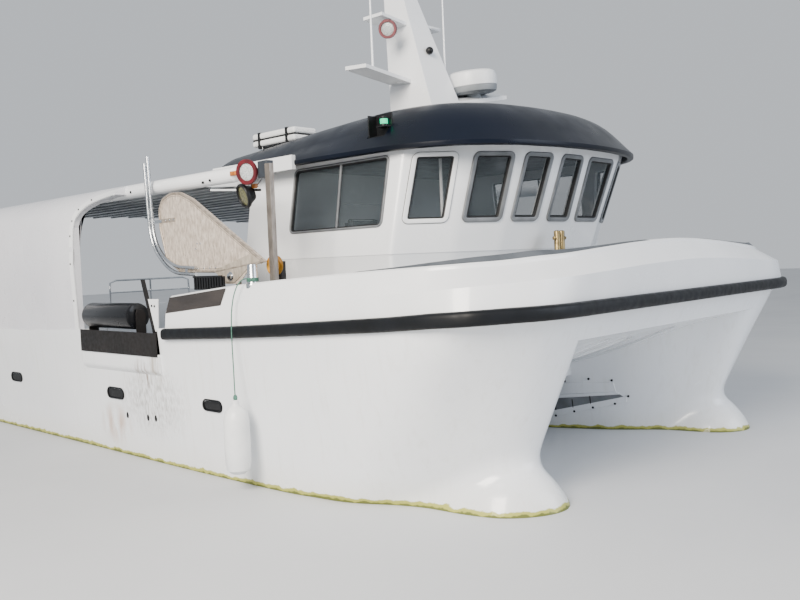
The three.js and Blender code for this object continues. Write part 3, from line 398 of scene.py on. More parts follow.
# %% Turned forms and bent bars
def turned(profile, at, aim, around=40):
    """A turned shape: each row of the profile is (radius, distance along aim), swept round the axis."""
    aim = np.asarray(aim, float) / np.linalg.norm(aim)
    side = np.cross(aim, (0, 0, 1) if abs(aim[2]) < 0.9 else (1, 0, 0))
    side /= np.linalg.norm(side)
    angle = np.linspace(0, 2 * math.pi, around, endpoint=False)[:, None]
    spoke = np.cos(angle) * side + np.sin(angle) * np.cross(aim, side)
    profile = np.asarray(profile, float)
    return shell(np.asarray(at) + profile[:, None, :1] * spoke + profile[:, None, 1:] * aim)


def rounded(points, bend, steps=7):
    """A path whose corners are eased: each becomes a parabola that starts and ends bend away."""
    p = np.asarray(points, float)
    t = np.linspace(0, 1, steps)[:, None]
    path = [p[:1]]
    for before, corner, after in zip(p, p[1:], p[2:]):
        u = corner + (before - corner) / np.linalg.norm(before - corner) * bend
        v = corner + (after - corner) / np.linalg.norm(after - corner) * bend
        path.append((1 - t)**2 * u + 2 * t * (1 - t) * corner + t**2 * v)
    return np.vstack(path + [p[-1:]])


def tube(path, radius, around=12):
    """A round bar along a path; its rings stand square to the path."""
    path = np.asarray(path, float)
    along = np.gradient(path, axis=0)
    along /= np.linalg.norm(along, axis=1)[:, None]
    spread_out = np.abs(along).max(axis=0)
    side = np.cross(along, np.eye(3)[np.argmin(spread_out)])
    side /= np.linalg.norm(side, axis=1)[:, None]
    up = np.cross(side, along)
    angle = np.linspace(0, 2 * math.pi, around, endpoint=False)[None, :, None]
    radius = np.broadcast_to(radius, len(path))[:, None, None]
    return shell(path[:, None] + radius * (np.cos(angle) * side[:, None] + np.sin(angle) * up[:, None]))


# %% Bolts, ovals and flat forms
def studs(places, aim, radius, high=None, around=10):
    """Domed bolt heads, one at each place, all facing aim."""
    high = high or radius * 0.6
    dome = [(radius, -0.002), (radius, high * 0.35), (radius * 0.8, high * 0.8), (radius * 0.35, high)]
    return merged(*(turned(dome, place, aim, around) for place in places))


def oval(centre, half, radius, section, aim=-1.0, steps=9):
    """A closed ring round a flat oval in the XZ plane: each row of section is (how much wider than the
    oval, how far it stands off along Y times aim)."""
    angle = np.linspace(-0.5, 0.5, steps) * math.pi
    angle = np.r_[angle, angle + math.pi]
    shift = np.where(np.arange(2 * steps) < steps, half, -half)
    x, y, z = centre
    return np.array([np.stack((x + shift + (radius + wide) * np.cos(angle),
                               np.full(2 * steps, y + aim * off),
                               z + (radius + wide) * np.sin(angle)), 1) for wide, off in section])


def prism(outline, start, end, axis):
    """A flat outline carried from start to end along an axis, 0, 1 or 2."""
    outline = np.asarray(outline, float)
    ring = np.insert(outline, axis, 0.0, axis=1)
    rings = np.stack((ring, ring))
    rings[0, :, axis], rings[1, :, axis] = start, end
    return shell(rings)


def block(x0, x1, y0, y1, z0, z1):
    """A straight-sided block between two values on each axis."""
    return prism([(x0, y0), (x1, y0), (x1, y1), (x0, y1)], z0, z1, 2)


# %% [markdown]
# ## The hull moulding
# Each side hull is drawn by waterlines: one fair curve from the transom forward along the outside,
# round the stem and aft along the tunnel. Two of these curves, at the waterline and at the deck, give
# every level between them. The bulb swells out of the stem. A boolean would leave a hard crease there,
# so at each level the waterline and the bulb's own section are joined with a soft fillet instead.

# %% Waterlines of one side hull
# Half of the boat. Columns: x, y at the waterline, x, y at the top, in millimetres.
OUTSIDE = [
    (5234, 1665, 5920, 1662), (5200, 1800, 5920, 1900), (5120, 1920, 5905, 2060), (5000, 2040, 5855, 2220),
    (4800, 2180, 5750, 2430), (4550, 2330, 5570, 2655), (4220, 2500, 5320, 2743), (3800, 2580, 4900, 2750),
    (3400, 2620, 4000, 2750), (2600, 2640, 3000, 2750), (0, 2640, 0, 2750), (-3200, 2620, -3200, 2750),
    (-5900, 2520, -5950, 2680)]
TUNNEL_SIDE = [
    (4900, 1300, 5580, 1320), (4490, 1004, 5170, 1000), (4200, 887, 4880, 860), (3840, 760, 4500, 720),
    (3200, 680, 3800, 620), (2000, 660, 2400, 600), (-1500, 660, -1500, 600), (-5900, 700, -5950, 640)]
HULL_MID_Y = 1.67
HULL_TOP = 1.6
# Columns: height, breadth factor, how far the stem steps aft.
BELOW = [(-750, 160, 600), (-580, 620, 280), (-300, 880, 80), (0, 1000, 0)]
# Bulb by ellipses. Columns: x, centre y, centre z, half width, half height.
BULB = [
    (3700, 1680, -350, 640, 180), (4000, 1700, -330, 700, 280), (4500, 1730, -300, 650, 400),
    (4950, 1775, -265, 540, 540), (5190, 1780, -250, 475, 600), (5380, 1770, -250, 430, 555),
    (5520, 1755, -245, 345, 450), (5620, 1740, -240, 240, 330), (5680, 1730, -235, 130, 190),
    (5705, 1725, -235, 30, 50)]
# Heights above the waterline, close together where the bulb meets the stem.
ABOVE = (0.03, 0.06, 0.09, 0.12, 0.15, 0.18, 0.21, 0.24, 0.27, 0.3, 0.33, 0.36, 0.4, 0.45, 0.52, 0.6, 0.7,
         0.83, 1.0, 1.15, 1.3, 1.45, HULL_TOP)
waterline = flow(np.array(OUTSIDE[::-1] + TUNNEL_SIDE) * MM, 8)
below = np.clip(flow(np.array(BELOW) * MM, 4), None, 1.0)
levels = np.vstack((below, [(z, 1, 0) for z in ABOVE]))
bulb = flow(np.array(BULB) * MM, 8)
print("side hull:", len(waterline), "columns by", len(levels), "levels")


# %% One waterline at a height
FLARE_END, FLARE_POWER = 0.85, 1.15     # the flare is used up at this share of the height
RUN_FROM, RUN_LONG, RUN_POWER, RUN_RISE = -1.5, 4.4, 1.3, 0.62    # the bottom rises aft of RUN_FROM
TRANSOM_X, HULL_LONG = 5.9, 11.1        # the stem's step aft fades out towards the transom


def hull_ring(z, breadth, aft):
    """One waterline: x and y run between the lower and the upper curve as the height rises.

    y follows a power of the height and is full at FLARE_END. Below the waterline the depth shrinks aft
    of RUN_FROM by a power of the distance."""
    t = max(0.0, z / HULL_TOP)
    w = min(1.0, (t / FLARE_END) ** FLARE_POWER)
    x0, y0, x1, y1 = waterline.T
    run = np.clip((RUN_FROM - x0) / RUN_LONG, 0, None) ** RUN_POWER * RUN_RISE
    x = x0 + (x1 - x0) * t - aft * (x0 + TRANSOM_X) / HULL_LONG
    y = HULL_MID_Y + (y0 + (y1 - y0) * w - HULL_MID_Y) * breadth
    return np.stack((x, y, np.where(z < 0, z * (1 - run), z)), axis=1)


print("beam of one hull at the waterline, m:", round(float(np.ptp(hull_ring(0.0, 1.0, 0.0)[:, 1])), 3))

# %% Blend the bulb in and close the loft
EYE = np.array((4.3, 1.70))       # inside both the stem and the bulb, seen from above
FILLET = 0.15
BLEND_X, BLEND_LONG = 3.6, 0.6    # the bulb's pull on the waterline grows from nothing over this length


def with_bulb(ring, z):
    """Joins a waterline with the bulb's section at that height.

    Along each ray from EYE the hull's field is the distance past the waterline, and the bulb's is its
    elliptical radius less one, times the smaller half axis. The skin is where their minimum, rounded
    over FILLET, changes sign."""
    ray = ring[:, :2] - EYE
    own = np.linalg.norm(ray, axis=1)
    beyond = np.linspace(-0.02, 1.4, 400)[None, :]
    x, y = (EYE[k] + (ray[:, k] / own)[:, None] * (own[:, None] + beyond) for k in (0, 1))
    y0, z0, a, b = (np.interp(x, bulb[:, 0], bulb[:, k]) for k in (1, 2, 3, 4))
    swell = (np.hypot((y - y0) / a, (z - z0) / b) - 1) * np.minimum(a, b)
    swell = swell + np.clip(x - bulb[-1, 0], 0, None)
    near = np.clip(FILLET - np.abs(beyond - swell), 0, None) / FILLET
    field = np.minimum(beyond, swell) - near**2 * FILLET / 4
    last = field.shape[1] - 2 - np.argmax(field[:, -2::-1] < 0, axis=1)
    row = np.arange(len(ring))
    inner, outer = field[row, last], field[row, last + 1]
    step = beyond[0, last] + (beyond[0, 1] - beyond[0, 0]) * inner / (inner - outer)
    ease = np.clip((ring[:, 0] - BLEND_X) / BLEND_LONG, 0, 1)
    scale = 1 + step / own * ease * ease * (3 - 2 * ease)
    return np.column_stack((EYE + ray * scale[:, None], ring[:, 2]))


port_rings = np.array([with_bulb(hull_ring(*level), level[0]) for level in levels])
MIRROR = np.array((1, -1, 1))
# The soles' bulbs are a little slimmer than the loft, so that they only show where it ends.
SLIMMER = np.array((1, 1, 1, 0.97, 0.985))
bulb_turn = np.arange(0, 2 * math.pi, math.pi / 12)
bulb_rings = [[(x, y + a * math.cos(t), z + b * math.sin(t)) for t in bulb_turn]
              for x, y, z, a, b in bulb * SLIMMER]
port_bulb = shell(bulb_rings)
hull = piece("hull_moulding", shell(port_rings * MIRROR), hull_gelcoat,
             stands_for=("hull_starboard", "hull_port", "bridge_deck"))
carve(hull, shell(port_rings), "UNION")

# %% [markdown]
# The bridge deck joins the two hulls. Its underside is nearly level aft and sweeps up to the bow, so
# it is one profile carried across. Then the sheer, the deep working deck, the hatch pockets and the
# hauling gap are cut with plain prisms, as openings are trimmed from a moulding.

# %% Join the bridge deck and cut the decks
STERN, DECK, STEP = -5.95, 0.6, 3.2
POCKET = 0.045                    # how deep the engine hatches lie in the deck
SHEER = np.array([(-6000, 1250), (-1000, 1250), (2000, 1346), (3000, 1390), (4000, 1445), (4900, 1499),
                  (5350, 1534), (5620, 1547), (5800, 1553), (6000, 1556)]) * MM
TUNNEL = np.array([(5775, 1258), (5380, 1143), (4900, 960), (4430, 812), (4050, 695), (3700, 600),
                   (3200, 500), (2400, 440), (0, 400), (-5950, 400)]) * MM
profile = np.vstack(([(STERN, HULL_TOP), (5.92, HULL_TOP)], flow(TUNNEL, 5)))
carve(hull, prism(profile, -1.69, 1.69, 1), "UNION")
carve(hull, prism(np.vstack((SHEER, [(6.2, 3), (-6.2, 3)])), -3.2, 3.2, 1))
well = [(-5.82, -2.5), (-3.6, -2.6), (0, -2.62), (STEP, -2.62), (STEP, 2.62), (0, 2.62), (-3.6, 2.6),
        (-5.82, 2.5), (-5.82, 0.75), (-6.2, 0.75), (-6.2, -0.75), (-5.82, -0.75)]
carve(hull, prism(well, DECK, 3.0, 2))
GAP_X = (0.3, 1.85)
carve(hull, block(*GAP_X, -2.8, -2.4, 1.088, 3.0))
for side in (-1, 1):
    carve(hull, block(-4.7, -3.9, side * HULL_MID_Y - 0.38, side * HULL_MID_Y + 0.38, DECK - POCKET, 0.61))
print("hull moulding:", len(hull.data.polygons), "faces")

# %% [markdown]
# The non-slip areas are sprayed on the same moulding, so they are faces of the hull with a second
# finish and not a sheet laid on top. A face takes it if it looks up and lies at a deck's height.

# %% Smooth it and lay the non-slip decks
hull.data.materials.append(non_slip)
count = len(hull.data.polygons)
normals, centres = np.empty(count * 3), np.empty(count * 3)
hull.data.polygons.foreach_get("normal", normals)
hull.data.polygons.foreach_get("center", centres)
normals, centres = normals.reshape(-1, 3), centres.reshape(-1, 3)
sheer_here = np.interp(centres[:, 0], SHEER[:, 0], SHEER[:, 1])
looks_up = normals[:, 2] > 0.95


def faces_at(height, slack):
    """Which faces have their middle within slack of a height."""
    return np.abs(centres[:, 2] - height) < slack


deck_faces = looks_up & (faces_at(DECK, 0.01) | faces_at(DECK - POCKET, 0.01)
                         | ((centres[:, 0] > STEP) & faces_at(sheer_here, 0.03)))
print("non-slip:", int(deck_faces.sum()), "faces")
hull.data.polygons.foreach_set("material_index", deck_faces.astype(np.int32))
hull.data.polygons.foreach_set("use_smooth", np.ones(count, bool))
hull.data.set_sharp_from_angle(angle=math.radians(28))

# %% [markdown]
# The hauling gap has a moulded ledge that the gear slides over, and the working deck a low pad. The
# stern gate swings on two pairs of stainless lugs, one pair at each end of its pin.

# %% Ledge, pad, lugs and soles
LEDGE_Y, LEDGE_TOP = 2.752, 1.088
ledge = [(-LEDGE_Y, LEDGE_TOP), (-LEDGE_Y, 0.945), (-2.748, 0.925), (-2.735, 0.905), (-2.69, 0.86),
         (-2.60, 0.86), (-2.60, LEDGE_TOP)]
piece("gap_ledge", prism(ledge, GAP_X[0] + 0.005, GAP_X[1], 0), hull_gelcoat, bevel=0.006)
piece("deck_pad", block(-0.6, 0, -1.5, -1.1, DECK - 0.002, DECK + 0.012), non_slip, bevel=0.003)
PIN_X, PIN_Y = -5.962, 0.752
LUG_TOPS = (0.7, 1.1)
lugs = [block(PIN_X - 0.013, PIN_X + 0.037, PIN_Y + 0.008, PIN_Y + 0.033, z - 0.01, z) for z in LUG_TOPS]
lugs += [block(PIN_X - 0.013, PIN_X + 0.012, PIN_Y - 0.012, PIN_Y + 0.02, z - 0.01, z) for z in LUG_TOPS]
piece("gate_lugs", merged(*lugs), stainless)
piece("bulb_soles", merged(port_bulb, shell(np.array(bulb_rings) * MIRROR)), hull_gelcoat)

# %% [markdown]
# ## Bulwark and belt fender
# The bulwark is one moulding that runs round the bow: a face that leans in, a fold, and a rounded
# capping. The fender below it is a hollow rubber D, pushed into a channel along the deck edge. A curve
# with a bevel could make the D, but not a section that changes on its way, so both are a small section
# carried along the same stations.

# %% Stations round the deck edge
# Half perimeter, in millimetres. Columns: fender face x, y; fold x, y, z; rail top x, y, z; and how far
# the rail's inboard edge stands above its outer one.
RIM = [
    (2000, 2805, 2000, 2735, 1500, 2000, 2680, 1648, 0),
    (3000, 2805, 3000, 2740, 1560, 3000, 2675, 1737, 0),
    (4000, 2805, 4000, 2735, 1610, 4000, 2670, 1796, 0),
    (4900, 2805, 4880, 2735, 1655, 4850, 2655, 1833, 12),
    (5350, 2800, 5300, 2715, 1680, 5200, 2600, 1846, 26),
    (5620, 2710, 5560, 2600, 1700, 5420, 2460, 1855, 37),
    (5800, 2470, 5740, 2370, 1715, 5580, 2240, 1863, 44),
    (5910, 2250, 5860, 2140, 1727, 5700, 1980, 1882, 44),
    (5965, 2020, 5920, 1900, 1737, 5760, 1720, 1897, 28),
    (5975, 1600, 5935, 1500, 1755, 5785, 1300, 1927, 15),
    (5975, 800, 5940, 800, 1787, 5800, 700, 1965, 8),
    (5975, 0, 5940, 0, 1805, 5800, 0, 1988, 0)]
half_rim = np.array(RIM) * MM
OTHER_SIDE = np.array((1, -1, 1, -1, 1, 1, -1, 1, 1))
rim = flow(np.vstack((half_rim * OTHER_SIDE, half_rim[-2::-1])), 7)
# To port there is no hauling gap, so the bulwark runs on aft to the shelter.
port_tail = np.array([(0.22, 2.805, 0.22, 2.735, 1.5, 0.22, 2.68, 1.648, 0)])
print("deck edge:", len(rim), "stations")


def outward(line):
    """Unit directions in plan, square to a line and pointing outboard."""
    along = np.gradient(line[:, :2], axis=0)
    along /= np.linalg.norm(along, axis=1)[:, None]
    return np.stack((along[:, 1], -along[:, 0]), 1)


def deck_edge(stations, section):
    """Carries a section along the deck edge. Each row of the section is (part, out, up): part 0 is the
    fender face, 1 the fold, 2 the rail's outer edge and 3 its inboard edge, which is banked up towards the
    bow; out and up shift from it, in metres."""
    sheer = np.interp(stations[:, 0], SHEER[:, 0], SHEER[:, 1])
    lines = [np.column_stack((stations[:, :2], sheer)), stations[:, 2:5], stations[:, 5:8],
             stations[:, 5:8] + stations[:, 8:] * (0, 0, 1)]
    aim = outward(lines[0])
    return np.stack([lines[int(part)] + np.column_stack((aim * out, np.full(len(aim), up)))
                     for part, out, up in section], axis=1)


# %% Bulwark and rail treads
RAIL_WIDE = 0.09
bulwark_section = [(0, -0.055, 0.0), (1, 0, 0), (2, 0.004, -0.032), (2, -0.004, -0.012), (2, -0.02, 0),
                   (3, -RAIL_WIDE + 0.015, 0.0), (3, -RAIL_WIDE, -0.010), (3, -RAIL_WIDE - 0.008, -0.05),
                   (0, -0.125, 0.0)]
piece("bulwark", shell(deck_edge(np.vstack((rim, port_tail)), bulwark_section)), white_gelcoat, crease=20,
      stands_for=("bulwark_starboard", "bulwark_bow", "bulwark_port"))
tread_section = [(2, -0.022, -0.003), (2, -0.022, 0.0012), (3, -RAIL_WIDE + 0.022, 0.0012),
                 (3, -RAIL_WIDE + 0.022, -0.003)]
# Grit in paint, like the decks but darker, so that feet don't slip on the banked rail.
tread_grey = finish("rail_tread", "575c62", "464b51", (0.6, 0.8), 200, 3, 0.4, IOR=1.5)
banked = rim[rim[:, 8] > 0.004]
piece("rail_treads", merged(*(shell(deck_edge(banked[banked[:, 1] * side > 0], tread_section))
                              for side in (-1, 1))), tread_grey)

# %% Belt fender
# A superellipse: powers below one square the round up to the D's fuller form.
BELT_HIGH, BELT_DEEP, FULL_OUT, FULL_UP = 0.107, 0.055, 0.55, 0.8
round_d = np.linspace(-0.5, 0.5, 15) * math.pi
belt_section = [(0, -BELT_DEEP + BELT_DEEP * abs(math.cos(t)) ** FULL_OUT, -BELT_HIGH / 2 + BELT_HIGH / 2
                 * math.copysign(abs(math.sin(t)) ** FULL_UP, math.sin(t))) for t in round_d]
piece("belt_fender_rubber", shell(deck_edge(rim, belt_section)), black_rubber, stands_for=("belt_fender",))

# %% [markdown]
# ## Wheelhouse
# The house is a ring of flat facets that lean outwards as they rise, so the windscreen rakes forward
# and sheds its reflections. Its walls are one shell between two outlines, with the windows cut out. A
# frame is a small section carried round the rounded outline of its window, on the leaning facet.

# %% Facets and window outlines
SILL, HEAD, HOUSE_AFT = 2.205, 2.82, 1.92
STYLE_LINE, FOOT_LINE = 1.95, 1.4
# Corners at the window heads, from aft starboard round the bow; the port bow corner is the rounder one.
# Columns: x, y, their shift per metre downwards, and the height below which the corner is upright.
HOUSE = np.array([
    (1920, -1590, 0, -164, 1950), (4050, -1590, -66, -164, 1950), (4425, -1150, -188.5, -59, 1400),
    (4675, -692, -311.5, -44, 1400), (4775, -245, -352, -21, 1400), (4775, 245, -352, 21, 1400),
    (4750, 870, -410, 24, 1400), (4530, 1320, -390, 0, 1400), (4050, 1590, -66, 164, 1950),
    (1920, 1590, 0, 164, 1950)]) * MM


def house_corners(z):
    """The ten corners of the house in plan at a height."""
    drop = HEAD - np.maximum(z, HOUSE[:, 4])
    return np.column_stack((HOUSE[:, :2] + HOUSE[:, 2:4] * drop[:, None], np.full(len(HOUSE), z)))


# The side windows, as shares of the straight side from the aft wall to its forward corner.
SIDE_START, SIDE_END, SIDE_CORNER = 2.615, 3.913, 4.05
side_run = SIDE_CORNER - HOUSE_AFT
near_side = ((SIDE_START - HOUSE_AFT) / side_run, (SIDE_END - HOUSE_AFT) / side_run)
# Columns: facet, start and end along it at the head. The first two lights spread aft at their foot.
FRONT = [(1, 0.166, 0.875), (2, 0.117, 0.89), (3, 0.10, 0.87), (4, 0.122, 0.878), (5, 0.075, 0.87),
         (6, 0.13, 0.87), (7, 0.16, 0.84)]
FOOT_SHIFT = {1: (-0.05, -0.035), 2: (-0.06, 0.015)}
SIDE_SILL = 2.19
WINDOWS = [(*row, SILL, HEAD) for row in FRONT]
WINDOWS += [(0, *near_side, SIDE_SILL, HEAD), (8, 1 - near_side[1], 1 - near_side[0], SIDE_SILL, HEAD)]
print("windows:", len(WINDOWS))


# %% A loop round a window
def window_loops(window, section, corner=0.06, steps=7):
    """Loops round a window: each row of section is (inset from the outline, lift off the facet). The
    loop is a rectangle with quarter-circle corners, laid on the leaning facet."""
    facet, u0, u1, z0, z1 = window
    at = {z: house_corners(z)[facet:facet + 2] for z in (z0, z1)}
    d0, d1 = FOOT_SHIFT.get(facet, (0, 0))
    low_left, low_right = (at[z0][0] + (at[z0][1] - at[z0][0]) * u for u in (u0 + d0, u1 + d1))
    top_left, top_right = (at[z1][0] + (at[z1][1] - at[z1][0]) * u for u in (u0, u1))
    wide = np.linalg.norm(top_right - top_left)
    high = np.linalg.norm(top_left - low_left)
    normal = np.cross(low_right - low_left, top_left - low_left)
    normal /= np.linalg.norm(normal)
    angles = np.linspace(0, math.pi / 2, steps)
    loops = []
    for inset, lift in section:
        r = max(corner - inset, 0.012)
        a, b = wide - inset - r, high - inset - r
        c = inset + r
        u = np.concatenate([cx + r * np.cos(angles + q * math.pi / 2)
                            for q, cx in enumerate((a, c, c, a))])
        v = np.concatenate([cy + r * np.sin(angles + q * math.pi / 2)
                            for q, cy in enumerate((b, b, c, c))])
        s, t = (u / wide)[:, None], (v / high)[:, None]
        place = (low_left * (1 - s) + low_right * s) * (1 - t) + (top_left * (1 - s) + top_right * s) * t
        loops.append(place + normal * lift)
    return np.array(loops)


# %% Walls with eased corners and cut windows
def house_line(z, inset):
    """The house outline in plan, its corners eased by a parabola, moved in by an inset."""
    ring = house_corners(z)
    edge = np.roll(ring, -1, axis=0)[:, :2] - ring[:, :2]
    normal = np.stack((-edge[:, 1], edge[:, 0]), 1) / np.linalg.norm(edge, axis=1)[:, None]
    offset = (normal * ring[:, :2]).sum(1) + inset
    n0, n1, d0, d1 = np.roll(normal, 1, axis=0), normal, np.roll(offset, 1), offset
    det = n0[:, 0] * n1[:, 1] - n0[:, 1] * n1[:, 0]
    ring[:, 0] = (d0 * n1[:, 1] - d1 * n0[:, 1]) / det
    ring[:, 1] = (n0[:, 0] * d1 - n1[:, 0] * d0) / det
    ring[[0, -1], 0] = HOUSE_AFT
    return rounded(ring, 0.045, 6)


WALL, STYLE_STEP = 0.05, 0.009
# Columns: height, inset. The wall steps in by STYLE_STEP below the style line.
wall_levels = [(DECK, STYLE_STEP), (FOOT_LINE, STYLE_STEP), (STYLE_LINE - 0.014, STYLE_STEP),
               (STYLE_LINE - 0.002, 0.004), (STYLE_LINE, 0.0), (STYLE_LINE + 0.012, 0.0), (SILL, 0),
               (2.5, 0), (HEAD, 0), (2.894, 0)]
walls = piece("wheelhouse_walls", shell([np.vstack((house_line(z, inset), house_line(z, WALL)[::-1]))
                                         for z, inset in wall_levels]), white_gelcoat,
              stands_for=("wheelhouse_side_starboard", "wheelhouse_side_port", "wheelhouse_front"))
FRAME_WIDE, SIDE_FRAME_WIDE = 0.044, 0.024


def frame_wide(window):
    """The visible width of a window's frame: the side windows have slimmer ones."""
    return FRAME_WIDE if window in WINDOWS[:7] else SIDE_FRAME_WIDE


for window in WINDOWS:
    hole = frame_wide(window) - 0.004
    carve(walls, shell(window_loops(window, [(hole, 0.06), (hole, -0.12)])))
walls.data.polygons.foreach_set("use_smooth", np.ones(len(walls.data.polygons), bool))
walls.data.set_sharp_from_angle(angle=math.radians(24))
print("walls:", len(walls.data.polygons), "faces")

# %% [markdown]
# The grey frames are anodised aluminium sections bent round the panes. Two windows, the first and the
# last of the front, open, so they have white frames with a groove round them. A black gasket holds each
# pane and covers its edge.

# %% Frames and gaskets
def frame_section(wide):
    """A frame's section: (inset, lift) from its outer edge over a flat face to the gasket."""
    return [(0.0, -0.004), (0.001, 0.010), (0.006, 0.015), (wide - 0.012, 0.016), (wide - 0.004, 0.012),
            (wide - 0.001, 0.002), (wide, -0.03), (0.0, -0.03)]


def gasket_section(wide):
    """A rubber bead that laps over the frame's inner edge and the pane."""
    return [(wide - 0.0025, 0.006), (wide + 0.003, 0.009), (wide + 0.009, 0.004), (wide + 0.012, -0.010),
            (wide + 0.012, -0.024), (wide - 0.0025, -0.024)]


groove_section = [(-0.004, -0.004), (-0.003, 0.003), (0.001, 0.003), (0.001, -0.004)]


def around_windows(windows, section):
    """The section, worked out for each window's own frame width, joined into a ring round each."""
    return merged(*(shell(window_loops(w, section(frame_wide(w))), joined=True) for w in windows))


white_frames = [WINDOWS[0], WINDOWS[6]]
grey_frames = WINDOWS[1:6] + WINDOWS[7:]
piece("windscreen_frames", around_windows(grey_frames, frame_section), frame_alloy)
piece("opening_light_frames", around_windows(white_frames, frame_section), white_plastic)
piece("window_gaskets", merged(around_windows(WINDOWS, gasket_section),
                               around_windows(white_frames, lambda wide: groove_section)), gasket_rubber)


# %% Panes and mullions
def panes(windows):
    """Flat glass 6 mm thick behind each gasket."""
    return merged(*(shell(window_loops(w, [(frame_wide(w) + 0.006, lift) for lift in (-0.012, -0.018)]))
                    for w in windows))


piece("side_panes", panes(WINDOWS[7:]), tinted_glass, stands_for=("side_pane_starboard", "side_pane_port"))
MULLION_X, MULLION_FOOT, MULLION_HEAD = 3.29, 2.215, 2.80
MULLION = [(-0.011, -0.002), (0.011, -0.002), (0.011, 0.016), (-0.011, 0.016)]


def upright_on_side(x, side):
    """A square bar on the side window, from its sill to its head, which divides the sliding panes."""
    corners = []
    for z in (MULLION_FOOT, MULLION_HEAD):
        y = house_corners(z)[0, 1]
        corners.append([(x + dx, side * -(y - dy), z) for dx, dy in MULLION])
    return shell(corners)


piece("window_mullions", merged(*(upright_on_side(MULLION_X, side) for side in (-1, 1))), frame_alloy,
      bevel=0.003)
piece("windscreen_panes", panes(WINDOWS[:7]), tinted_glass, stands_for=("windscreen_glass",))

# %% [markdown]
# A white grab pole stands between console and roof just inside the windscreen, where the glass lets
# it show.

# %% Grab pole
piece("cabin_grab_pole", tube([(4.107, -1.15, 2.12), (4.106, -1.15, 2.5), (4.105, -1.15, 2.88)], 0.015),
      white_plastic)

# %% [markdown]
# ## Roof and brow
# The roof is one moulding with a brow that overhangs the windows all round. Its outline is inset by
# more at each level, and a fair curve runs through both the outline and the levels, so it has no
# facets. A bevel on a block would round it evenly, but this lip is tight and the crown is slow. The
# top falls away aft.

# %% Loft the brow
BROW = np.array([(1100, 1690), (3500, 1740), (4050, 1690), (4400, 1560), (4660, 1330), (4850, 1000),
                 (4960, 560), (5000, 180)]) * MM
SLOPE_FROM, SLOPE, FLAT_BELOW = 3.55, 0.062, 3.0    # the crown falls aft of x = 3.55, 62 mm per metre


def brow_ring(z, inset, aft):
    """The roof's outline moved in by an inset, the aft edge by its own, as a fair closed ring.

    Each side of the outline is a line a distance from the centre; two neighbouring lines, moved in,
    meet at the new corner."""
    ring = np.vstack((BROW * (1, -1), BROW[::-1]))
    edge = np.roll(ring, -1, axis=0) - ring
    normal = np.stack((-edge[:, 1], edge[:, 0]), 1) / np.linalg.norm(edge, axis=1)[:, None]
    offset = (normal * ring).sum(1) + np.r_[np.full(len(ring) - 1, inset), aft]
    n0, n1, d0, d1 = np.roll(normal, 1, axis=0), normal, np.roll(offset, 1), offset
    det = n0[:, 0] * n1[:, 1] - n0[:, 1] * n1[:, 0]
    corners = np.stack(((d0 * n1[:, 1] - d1 * n0[:, 1]) / det, (n0[:, 0] * d1 - n1[:, 0] * d0) / det), 1)
    line = flow(corners, 6)
    height = z - np.where(z > FLAT_BELOW, SLOPE * np.clip(SLOPE_FROM - line[:, 0], 0, None), 0)
    return np.column_stack((line, height))


# Columns: height, inset, inset of the aft edge.
lip = [(2.895, 0.07, 0.07), (2.845, 0.062, 0.062), (2.836, 0.052, 0.052), (2.835, 0.03, 0.03),
       (2.838, 0.012, 0.012), (2.845, 0.003, 0.003), (2.856, 0, 0)]
crown = flow([(2.88, 0.0, 0.0), (3.19, 0.32, 0.03), (3.26, 0.45, 0.06), (3.30, 0.70, 0.25)], 5)
roof = piece("roof_moulding", shell([brow_ring(*row) for row in lip + crown.tolist()]), navy_gelcoat,
             stands_for=("wheelhouse_roof",))

# %% Cut the lamp bays
BAY_X, BAY_Y, BAY_Z = (3.668, 3.872), 1.5, (2.985, 3.2)
for side in (-1, 1):
    carve(roof, block(*BAY_X, *sorted((side * BAY_Y, side * 1.9)), BAY_Z[0], 3.4))
roof.data.polygons.foreach_set("use_smooth", np.ones(len(roof.data.polygons), bool))
roof.data.set_sharp_from_angle(angle=math.radians(30))
piece("antenna_pad", block(3.62, 3.86, -0.62, -0.38, 3.28, 3.315), navy_gelcoat, bevel=0.006)
print("roof:", len(roof.data.polygons), "faces")

# %% [markdown]
# ## Shelter sides
# Abaft the hauling gap a shelter closes the working deck in. Its side is one moulding that turns in
# under the canopy, and its forward edge sweeps up and over the opening. It is a section carried
# forward. Along the sweep only the part of the section above the edge is carried, so the edge needs no
# cutting. A bolted strip trims it.

# %% Sections and sweep of the shelter
SHELTER_X = (-3.6, 0.22)
# Half sections, outside and inside. Columns: y, z.
SHELTER_OUT = flow(np.array([(2735, 1250), (2735, 2400), (2705, 2560), (2610, 2690), (2480, 2775),
                             (2390, 2800)]) * MM, 8)
SHELTER_IN = flow(np.array([(2670, 1250), (2670, 2400), (2640, 2530), (2550, 2625), (2445, 2690),
                            (2390, 2700)]) * MM, 8)
# The edge of the opening. Columns: x, z.
SWEEP = flow(np.array([(220, 2380), (250, 2460), (330, 2545), (460, 2615), (650, 2662),
                       (900, 2695)]) * MM, 5)


def part_above(curve, z):
    """The part of a section above a height, cut into 25 equal steps along its length."""
    run = np.r_[0, np.cumsum(np.linalg.norm(np.diff(curve, axis=0), axis=1))]
    at = np.linspace(np.interp(z, np.maximum.accumulate(curve[:, 1]), run), run[-1], 26)
    return np.stack([np.interp(at, run, curve[:, k]) for k in (0, 1)], 1)


# Columns: x, the height that the section starts from there.
stations = [(x, 1.2503) for x in np.linspace(*SHELTER_X, 12)]
stations += [(x + 0.0002, z) for x, z in SWEEP]
shelter_rings = []
for x, z in stations:
    line = np.vstack((part_above(SHELTER_OUT, z), part_above(SHELTER_IN, z)[::-1]))
    shelter_rings.append(np.insert(line, 0, x, axis=1))
